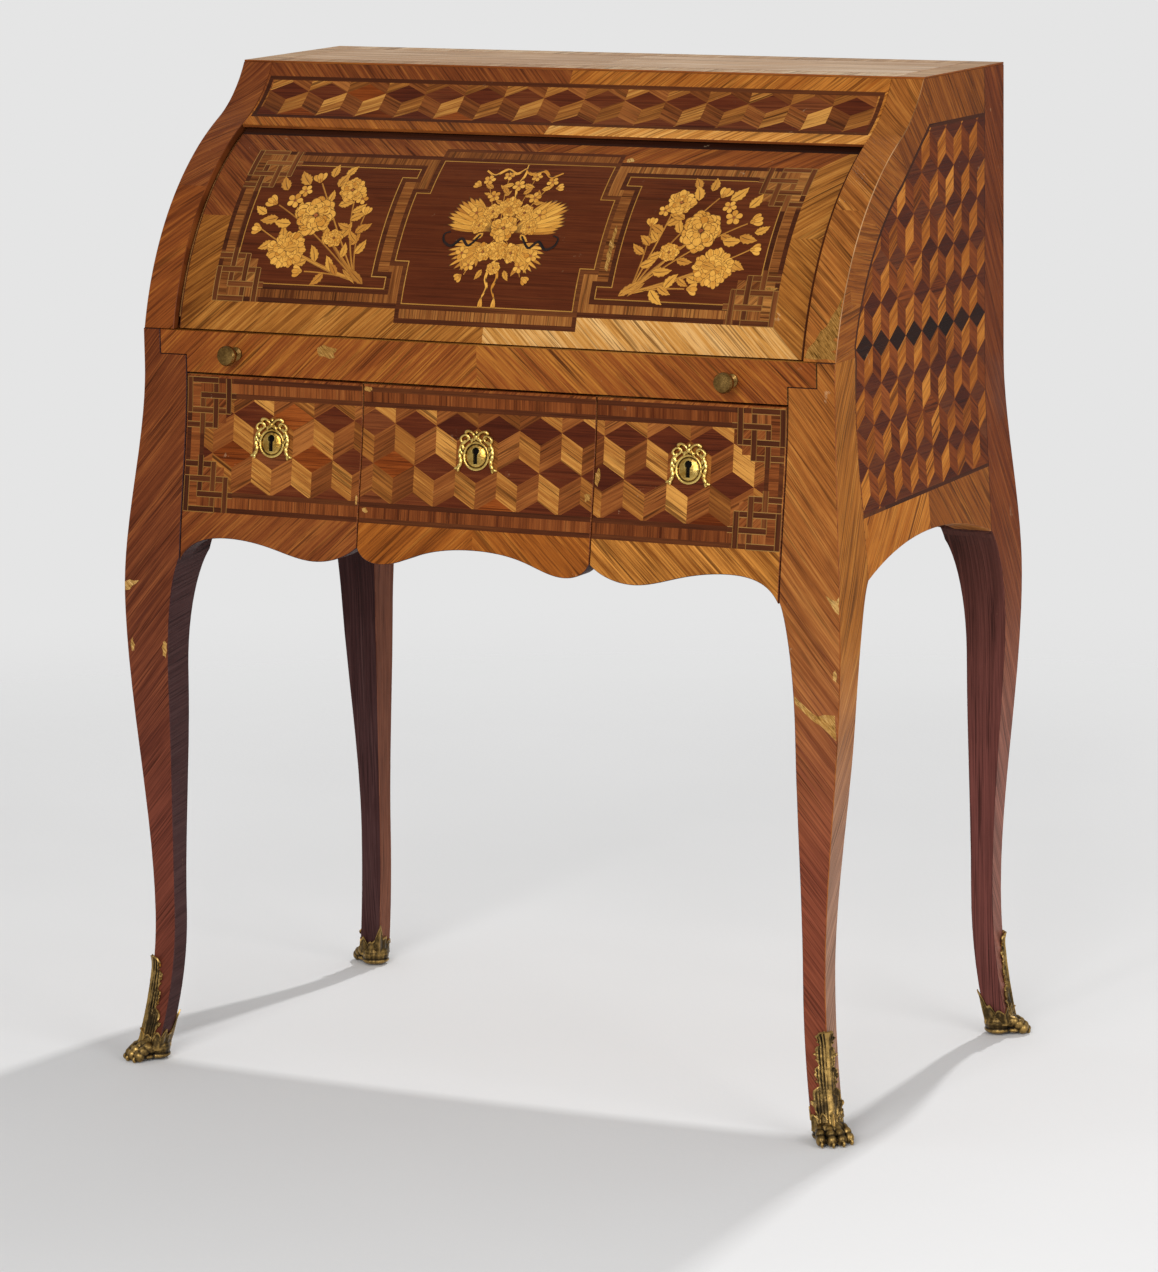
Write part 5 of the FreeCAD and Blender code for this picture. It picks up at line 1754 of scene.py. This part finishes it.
@dataclass
class Shoe:
    """A bronze shoe: a ragged leaf up the outer corner, a collar of leaves and a paw."""

    name: str
    side: int
    front: int
    centre: Spot
    leaf_top: float = 104.0
    leaf_foot: float = 14.0
    tiers: Sequence[Box] = (
        (0.0, 0.43, 20.5, 11.0), (0.43, 0.64, 15.0, 9.5), (0.64, 0.85, 13.4, 8.5), (0.85, 1.01, 11.0, 6.0))
    teeth: float = 3.0
    leaf_wall: float = 1.6
    section: float = 23.0
    collar_foot: float = 11.0
    collar_wall: float = 1.4
    sole: float = 14.2
    corners: dict[int, Vector] = field(default_factory=dict)

    @staticmethod
    def paw() -> Piece:
        """Models the paw once, its toes along +X.

        Returns:
            The paw, standing on the floor at the origin.
        """
        parts = [ball((-3, 0, 12), (13.5, 14.5, 12)), ball((7, 0, 13), (11, 15.5, 9)),
                 ball((-3, 0, 5), (13.5, 14.5, 5)), ball((10, 0, 5), (10, 16, 4.6))]
        for lat, far in ((-13.8, 18.5), (-4.8, 23.0), (4.8, 23.0), (13.8, 18.5)):
            turn = degrees(atan2(lat, 40))
            for back, share, up, size in ((10.0, 0.82, 13.6, (7.0, 4.5, 5.4)), (4.5, 0.93, 10.8, (6.0, 4.8, 5.4)),
                                          (0.0, 1.0, 6.4, (5.6, 4.9, 5.8))):
                parts.append(ball((far - back, lat * share, up), size, turn))
            parts.append(ball((far + 5.2, lat * 1.06, 3.6), (2.8, 1.7, 3.2), turn))
        return fuse(parts, "paw_master", 0.7, 1)

    def corner(self, z: float) -> Vector:
        """Finds the leg's outer corner at a height.

        Args:
            z: The height in millimetres.

        Returns:
            The corner, in millimetres.
        """
        key = round(z * 2)
        if key in self.corners:
            return self.corners[key]
        out = Vector((self.side, -self.front, 0))
        best, level = None, max(key / 2, self.sole) * MM
        mesh = frame["nodes"][f"{self.name}_leg"].data
        for edge in mesh.edges:
            a, b = (mesh.vertices[i].co for i in edge.vertices)
            if (a.z - level) * (b.z - level) > 0 or abs(a.z - b.z) < 1e-7:
                continue
            spot = a.lerp(b, (level - a.z) / (b.z - a.z))
            if best is None or spot.dot(out) > best.dot(out):
                best = spot
        self.corners[key] = Vector((best.x / MM, best.y / MM, z))
        return self.corners[key]

    def leaf(self) -> Piece:
        """Models the ragged leaf that climbs the corner.

        Returns:
            The leaf.
        """
        rows, columns = 96, 28
        leaf = start(bpy.ops.mesh.primitive_grid_add, x_subdivisions=columns, y_subdivisions=rows, size=2.0)
        for point in leaf.data.vertices:
            row = round((point.co.y + 1) / 2 * rows)
            c = point.co.x
            z = self.leaf_foot + (self.leaf_top - self.leaf_foot) * row / rows
            at = self.corner(z)
            share = row / rows
            lean = min(share + (0.025 if c > 0 else 0.0), 1.0)
            low, high, reach, neck = next(tier for tier in self.tiers if lean < tier[1])
            climb = (lean - low) / (high - low)
            tooth = climb * self.teeth % 1.0
            wide = reach * (0.8 + 0.26 * climb)
            wide += (neck - wide) * (max(climb - 0.72, 0.0) / 0.28) ** 2
            wide *= sqrt(max(0.04, 1 - (max(share - 0.9, 0.0) / 0.1) ** 2))
            w = c * wide * (1 - 0.2 * (1 - tooth) * abs(c) ** 3)
            vein = cos(2 * pi * (climb * self.teeth - abs(c) * 0.8))
            proud = 0.9 + 0.9 * exp(-(w / 1.2) ** 2) + 0.45 * vein * c * c + 0.6 * cos(w * 2.0)
            proud += 2.6 * max(0.0, (share - 0.86) / 0.14) ** 2
            proud += 1.9 * sin(pi * climb ** 1.6) * c * c + 0.5 * abs(c) ** 3
            round_off = exp(-(w / 1.6) ** 2) * 0.7
            if w >= 0:
                x, y = at.x + self.side * (proud - round_off), at.y + self.front * w
            else:
                x, y = at.x + self.side * w, at.y - self.front * (proud - round_off)
            point.co = Vector((x, y, z)) * MM
        with editing(leaf):
            bpy.ops.mesh.normals_make_consistent(inside=False)
        middle = leaf.data.polygons[len(leaf.data.polygons) // 2]
        if middle.normal.dot(Vector((self.side, -self.front, 0))) < 0:
            leaf.data.flip_normals()
        work_in(leaf, "SOLIDIFY", thickness=self.leaf_wall * MM, offset=-1.0)
        return leaf

    def collar(self) -> Piece:
        """Models the collar of upright leaves round the leg's tip.

        Returns:
            The collar.
        """
        around, rows = 128, 14
        collar = start(bpy.ops.mesh.primitive_cylinder_add, vertices=around, radius=1.0, depth=2.0,
                       end_fill_type="NOTHING")
        with editing(collar, "FACE", "DESELECT"):
            work = bmesh.from_edit_mesh(collar.data)
            for edge in work.edges:
                edge.select_set(abs(edge.verts[0].co.z - edge.verts[1].co.z) > 1.0)
            bmesh.update_edit_mesh(collar.data)
            bpy.ops.mesh.subdivide(number_cuts=rows - 1, quadcorner="INNERVERT")
        half = self.section / 2
        inner = atan2(self.front, -self.side)
        for point in collar.data.vertices:
            turn = atan2(point.co.y, point.co.x)
            t = (point.co.z + 1) / 2
            leaf_at = (turn - inner) / (2 * pi) * 10
            tip = 1 - abs((leaf_at + 0.5) % 1.0 * 2 - 1)
            away = abs((turn - inner + pi) % (2 * pi) - pi)
            top = 22 + (8 + 3 * sin(leaf_at * 2.1)) * tip ** 0.6 + 17 * max(0.0, 1 - away / 0.55) ** 1.2
            z = self.collar_foot + (top - self.collar_foot) * t
            c, s = cos(turn), sin(turn)
            square = 1 / max(abs(c), abs(s))
            reach = (half + 0.9 + 1.5 * (tip - 0.35) * (0.35 + 0.65 * t) + 0.8 * (t > 0.92)) * (0.72 * square + 0.33)
            at = self.corner(max(z, 14.3))
            mid = Vector((at.x - self.side * half, at.y + self.front * half, z))
            point.co = (mid + Vector((c, s, 0)) * reach) * MM
        work_in(collar, "SOLIDIFY", thickness=self.collar_wall * MM, offset=-1.0)
        return collar

    def build(self, paw: Piece) -> None:
        """Puts leaf, collar and a copy of the modelled paw together."""
        turn = atan2(-self.front, self.side)
        to = Matrix.Translation(Vector((*self.centre, 0)) * MM) @ Matrix.Rotation(turn, 4, "Z")
        foot = join([place_copy(paw, f"{self.name}_shoe_casting", to), self.leaf(), self.collar()])
        mark_hollows(foot, 5.0)
        coat(foot, Bronze.SHOE)
        smooth(foot, 50)
        settle(foot, "case", "gilt_bronze", f"{self.name}_shoe")


@dataclass
class KeyPlate:
    """A gilt key plate: a round boss under a ribbon bow, with leafy swags at its sides."""

    places: tuple[tuple[str, float], ...] = (("left", -223.8), ("centre", 0.0), ("right", 223.8))
    height: float = 625.0
    proud: float = 0.35
    ring: float = 12.9
    hole: float = 3.8
    swag: Sequence[tuple[float, ...]] = (
        (13.6, 10.6, 4.4, 2.1, -38), (16.2, 7.0, 4.2, 1.9, -62), (14.2, 6.4, 3.2, 1.5, -96), (17.4, 2.4, 4.2, 2.0, -80),
        (15.4, 1.4, 3.0, 1.4, -112), (17.2, -2.6, 4.2, 2.0, -98), (16.2, -7.2, 4.2, 2.0, -88),
        (17.4, -11.2, 4.4, 2.1, -58), (20.2, -13.8, 3.2, 1.7, -18), (18.2, -14.6, 3.0, 1.5, -80))

    def model(self) -> Piece:
        """Models the plate once, lying face up at the origin.

        Returns:
            The plate.
        """
        mesh = bpy.ops.mesh
        parts = [ball((0, -1.5, 0.6), (11.2, 12.0, 2.8)),
                 start(mesh.primitive_torus_add, (0, -1.5, 1.2), major_segments=56, minor_segments=10,
                       major_radius=self.ring * MM, minor_radius=1.4 * MM)]
        for hand in (-1, 1):
            for x, y, turn, long, wide in ((6.4, 17.8, 30, 1.25, 0.8), (12.4, 14.6, -24, 1.0, 0.7)):
                loop = start(mesh.primitive_torus_add, (hand * x, y, 2.0), major_segments=32, minor_segments=8,
                             major_radius=4.4 * MM, minor_radius=1.6 * MM,
                             rotation=(radians(12), 0, radians(turn * hand)))
                loop.scale = (long, wide, 1.2)
                parts.append(loop)
            for x, y, long, wide, turn in self.swag:
                parts.append(ball((hand * x, y, 1.5), (long, wide, 1.9), turn if hand > 0 else 180 - turn))
            parts.append(ball((hand * 4.0, 13.6, 2.2), (1.4, 3.2, 1.5), hand * 30))
        parts += [ball((0, 16.4, 2.6), (2.6, 2.8, 2.2)), ball((0, 20.4, 2.0), (1.7, 2.6, 1.6))]
        plate = fuse(parts, "key_plate_master", 0.5, 1)
        hole = start(mesh.primitive_cylinder_add, (0, 3.0, 0), vertices=24, radius=self.hole * MM, depth=20 * MM)
        slot = start(mesh.primitive_cube_add, (0, -2.6, 0), size=1.0)
        slot.scale = Vector((4.4, 13.4, 20)) * MM
        for cutter in (hole, slot):
            take(cutter)
            bpy.ops.object.transform_apply(location=True, rotation=True, scale=True)
            work_in(plate, "BOOLEAN", operation="DIFFERENCE", object=cutter)
            scrap(cutter)
        with editing(plate):
            mesh.bisect(plane_co=(0, 0, 0), plane_no=-Z, use_fill=True, clear_outer=True, threshold=WELD)
        mark_hollows(plate, 7.0)
        # A black disc under the plate is painted shade seen through the keyhole.
        back = start(mesh.primitive_cylinder_add, (0, -1.5, 0.25), vertices=32, radius=10.0 * MM, depth=0.4 * MM)
        bpy.ops.object.transform_apply(location=True, rotation=True, scale=True)
        with editing(back):
            mesh.inset(thickness=3.0 * MM)
        for part in (plate, back):
            coat(part, Bronze.PLATE, Bronze.SOOT)
        for poly in back.data.polygons:
            poly.material_index = 1
        return join([plate, back])

    def build(self) -> None:
        """Pins a copy on each drawer front."""
        master = self.model()
        slope = (front_bow(self.height + 1) - front_bow(self.height - 1)) / 2
        up = Vector((0, slope, 1)).normalized()
        out = X.cross(up)
        for name, x in self.places:
            at = Vector((x, front_bow(self.height), self.height)) + out * self.proud
            to = Matrix((X, up, out)).transposed().to_4x4()
            piece = place_copy(master, f"{name}_key_plate_casting", Matrix.Translation(at * MM) @ to)
            smooth(piece, 50)
            settle(piece, f"{name}_drawer", "gilt_bronze", f"{name}_drawer_key_plate")
        scrap(master)


@dataclass
class Loss:
    """A small place where the veneer has broken away and bare wood shows."""

    node: str
    body: str
    at: Vector
    look: Vector
    size: Spot
    outline: Sequence[Spot] = ()
    points: int = 14
    rings: int = 5
    proud: float = 0.09
    back: float = 60.0
    reach: float = 45.0
    pulls: Sequence[float] = (1.0, 0.93, 0.85, 0.7, 0.5)

    def build(self, name: str) -> None:
        """Lays the bare place on the node's surface; nothing where the surface isn't met.

        Args:
            name: The piece's name.
        """
        dice = random.Random(name)
        look = self.look.normalized()
        across = Z.cross(look).normalized()
        up = look.cross(across)
        node = frame["nodes"][self.node]
        skin = BVHTree.FromPolygons([node.matrix_world @ v.co for v in node.data.vertices],
                                    [p.vertices[:] for p in node.data.polygons])
        rim = list(self.outline)
        for k in range(0 if rim else self.points):
            turn, reach = 2 * pi * k / self.points, dice.uniform(0.5, 1.0)
            rim.append((cos(turn) * self.size[0] * reach, sin(turn) * self.size[1] * reach))
        points, count, rings = [], len(rim), self.rings
        for ring in range(rings, -1, -1):
            for a, b in rim if ring else rim[:1]:
                for pull in self.pulls:
                    spot = self.at + (across * a + up * b) * (ring / rings * pull)
                    place, normal, _, _ = skin.ray_cast((spot - look * self.back) * MM, look)
                    if place is not None and (place / MM - spot).length < self.reach:
                        break
                else:
                    return
                points.append(place + normal * self.proud * MM)
        faces = []
        for r in range(rings):
            for k in range(count):
                edge = (r * count + k, r * count + (k + 1) % count)
                inner = (edge[1] + count, edge[0] + count) if r < rings - 1 else (rings * count,)
                faces.append(edge + inner)
        mesh = bpy.data.meshes.new(name)
        mesh.from_pydata(points, [], faces)
        if mesh.polygons[0].normal.dot(look) > 0:
            mesh.flip_normals()
        uv = mesh.uv_layers.new(name="grain").data
        for loop in mesh.loops:
            co = mesh.vertices[loop.vertex_index].co
            uv[loop.index].uv = (co.dot(across) + co.dot(up), co.dot(up) - co.dot(across))
        mesh.materials.append(Wood.BARE.value.material())
        settle(stand(name, mesh), self.body, "inner_wood")


STRIP_LOSS = ((-2, -24), (1.5, -22), (2.5, -8), (3, 6), (1.5, 20), (0.5, 25), (-1.5, 18), (-3, 2), (-2.5, -12))


def fall_loss(p: float, q: float, size: Spot, outline: Sequence[Spot] = ()) -> Loss:
    """Makes a loss at a place of the fall's round face."""
    face = RollFace()
    return Loss("roll", "roll", face.point(p, q) / MM, -face.out(q), size, outline)


def front_loss(node: str, body: str, at: Spot3, size: Spot, outline: Sequence[Spot] = ()) -> Loss:
    """Makes a loss on a node's front."""
    return Loss(node, body, Vector(at), Y, size, outline)


LOSSES = (
    fall_loss(118.5, 100.0, (3, 24), STRIP_LOSS), fall_loss(104.0, 205.0, (5, 4)), fall_loss(293.0, 66.0, (9, 1.6)),
    front_loss("right_side", "case", (356, -195, 744), (13, 13),
               ((18, -12), (8, -13), (-4, -12), (-13, -13), (-13.2, 0), (-13, 15), (-13.3, 30), (-12, 44), (-9, 33),
                (-5, 27), (-1, 17), (5, 12), (9, 3), (15, -3))),
    front_loss("front_right_leg", "case", (378, -220, 509), (6, 9),
               ((9, 8), (3, 5), (-3, 3), (-5, 8), (-5.5, -9), (-1, -6), (3, 0), (6, 4))),
    front_loss("front_right_leg", "case", (357, -230, 402), (20, 18),
               ((19, 19), (10, 12), (0, 4), (-7, 1), (-11, 4), (-22, 4), (-23, -20), (-15, -13), (-8, -7), (0, -3),
                (10, 5), (18, 12))),
    front_loss("front_right_leg", "case", (379, -218, 552), (4, 8)),
    front_loss("front_right_leg", "case", (379, -230, 442), (3, 7)),
    front_loss("front_left_leg", "case", (-376, -222, 478), (9, 6),
               ((9, 3), (8, -6), (3, -5), (0, -1), (-4, 1), (-8, 5), (-2, 4), (3, 5))),
    front_loss("front_left_leg", "case", (-378, -225, 418), (3, 9)),
    front_loss("front_left_leg", "case", (-341, -225, 418), (4, 11)),
    front_loss("right_drawer_front", "right_drawer", (129, -200, 610), (3, 11)),
    front_loss("centre_drawer_front", "centre_drawer", (119, -200, 592), (4, 5)),
    front_loss("centre_drawer_front", "centre_drawer", (-119, -200, 681), (6, 3)),
    front_loss("centre_drawer_front", "centre_drawer", (-118, -200, 566), (4, 3)),
    front_loss("left_drawer_front", "left_drawer", (-128, -200, 575), (2, 6)),
    front_loss("slide_board", "writing_slide", (-165, -190, 715), (15, 8)),
)


@dataclass
class Studio:
    """The floor, the light and the camera at the photograph's angle."""

    eye: Spot3 = (2.41873, -4.67490, 1.38194)
    ahead: Spot3 = (-0.45171, 0.87372, -0.18046)
    right: Spot3 = (0.88941, 0.45690, -0.01414)
    up: Spot3 = (-0.07010, 0.16689, 0.98348)
    lens: float = 153.66
    aim: Spot3 = (0.0, 0.0, 0.55)
    soft_light: float = 0.43
    paper: str = "e5e5e5"
    floor_size: float = 80.0
    fade: Spot = (1.3, 2.6)
    lamps: Sequence[tuple[str, Spot3, float, float]] = (
        ("back_key", (0.17, 2.94, 3.9), 0.14, 88.0), ("front_fill", (0.9, -4.9, 2.6), 2.6, 170.0),
        ("right_fill", (3.3, -1.5, 1.35), 1.8, 41.0))

    def camera(self) -> None:
        """Sets the camera."""
        data = bpy.data.cameras.new("photo_camera")
        data.lens, data.sensor_width, data.clip_end = self.lens, 36.0, 200.0
        eye = stand("photo_camera", data)
        turn = Matrix((self.right, self.up, -Vector(self.ahead))).transposed().to_4x4()
        eye.matrix_world = Matrix.Translation(Vector(self.eye)) @ turn
        bpy.context.scene.camera = eye

    def lamp(self, name: str, place: Sequence[float], size: float, power: float) -> None:
        """Hangs one soft lamp that points at the desk.

        Args:
            name: The lamp's name.
            place: Where it hangs.
            size: Its width.
            power: Its power in watts.
        """
        data = bpy.data.lights.new(name, "AREA")
        data.size, data.energy = size, power
        lamp = stand(name, data)
        lamp.location = place
        lamp.rotation_euler = (Vector(self.aim) - Vector(place)).to_track_quat("-Z", "Y").to_euler()

    def floor(self) -> None:
        """Lays the pale floor."""
        floor = start(bpy.ops.mesh.primitive_plane_add, size=self.floor_size)
        floor.name = "studio_floor"
        g = Graph("pale_floor")
        place = g.place()
        cloud = g.noise(place, 2.0, 3.0)
        colour = g.mix(cloud, tint("e2e2e2"), tint("e8e8e8"))
        reach = g.node("VectorMath", {"operation": "LENGTH"}, {0: place}).outputs["Value"]
        fade = 1.0 - Signal(g, reach).step(*self.fade)
        floor.data.materials.append(g.surface(colour, cloud * 0.1 + 0.7, g.noise(place, 180.0), 0.0002,
                                              Specular_IOR_Level=0.1, Alpha=fade))
        floor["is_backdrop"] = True

    def build(self) -> None:
        """Makes the camera, floor, lamps and surround."""
        self.camera()
        self.floor()
        for lamp in self.lamps:
            self.lamp(*lamp)
        world = bpy.data.worlds.new("studio")
        bpy.context.scene.world = world
        world.use_nodes = True
        tree = world.node_tree
        soft = tree.nodes["Background"]
        soft.inputs["Color"].default_value = (1, 1, 1, 1)
        soft.inputs["Strength"].default_value = self.soft_light
        seen = tree.nodes.new("ShaderNodeBackground")
        seen.inputs["Color"].default_value = tint(self.paper)
        ray, blend = tree.nodes.new("ShaderNodeLightPath"), tree.nodes.new("ShaderNodeMixShader")
        tree.links.new(ray.outputs["Is Camera Ray"], blend.inputs[0])
        tree.links.new(soft.outputs[0], blend.inputs[1])
        tree.links.new(seen.outputs[0], blend.inputs[2])
        tree.links.new(blend.outputs[0], tree.nodes["World Output"].inputs["Surface"])
        bpy.context.scene.view_settings.view_transform = "Standard"


STAYING: dict[str, tuple[Union[Wood, Bronze], Optional[int]]] = {
    "top_board": (Wood.BACK, 0), "back_rail": (Wood.BACK, 0), "dust_board": (Wood.OAK, 0),
    "drawer_floor": (Wood.OAK, 0),
    "right_partition": (Wood.OAK, 1), "left_partition": (Wood.OAK, 1), "drawer_guides": (Wood.OAK, 1),
    "roll_runners": (Wood.OAK, 2), "nest_floor": (Wood.SHADE, 0), "nest_top": (Wood.SHADE, 0),
    "nest_uprights": (Wood.SHADE, 2), "nest_shelves": (Wood.SHADE, 0), "walls": (Wood.OAK, 1), "bottom": (Wood.OAK, 0),
    "slide_knob": (Bronze.KNOB, None), "pen_drawer_knob": (Bronze.KNOB, None),
    "lock": (Bronze.IRON, None), "bolt": (Bronze.IRON, None),
}


def dress_nodes() -> None:
    """Gives every node that stays its own finish, with the axis that its grain follows."""
    for name, node in frame["nodes"].items():
        key = next((k for k in STAYING if name == k or name.endswith("_" + k)), None)
        if key is None:
            continue
        finish, axis = STAYING[key]
        for place in node.material_slots:
            place.material = finish.value.material(axis)
        LOG.info("%s keeps its shape", name)


def main() -> None:
    """Builds the desk piece by piece."""
    logging.basicConfig(level=logging.INFO, format="%(name)s %(message)s")
    Studio().build()
    CylinderFall().build()
    for drawer in (Drawer("left", -321.4, -125.7, (-1,)), Drawer("centre", -124.7, 124.7, ()),
                   Drawer("right", 125.7, 321.4, (1,))):
        drawer.build()
    for hand, side in ((-1, "left"), (1, "right")):
        SideBoard(side, hand).build()
        for front, end in ((1, "front"), (-1, "back")):
            Leg(f"{end}_{side}", hand, front).build()
    dress_nodes()
    Frieze().build()
    WritingSlide().build()
    for board in flat_boards():
        board.build()
    inlay = FallInlay()
    for hand in (-1, 1):
        inlay.spray(hand)
    inlay.bouquet()
    paw = Shoe.paw()
    for hand, side in ((-1, "left"), (1, "right")):
        Shoe(f"front_{side}", hand, 1, (hand * 368.15, -217.0)).build(paw)
        Shoe(f"back_{side}", hand, -1, (hand * 359.95, 216.5)).build(paw)
    scrap(paw)
    KeyPlate().build()
    for count, loss in enumerate(LOSSES):
        loss.build(f"veneer_loss_{count}")
    boxes = [[list(corner) for corner in box] for box in (CAD_BOX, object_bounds())]


if __name__ == "__main__":
    main()
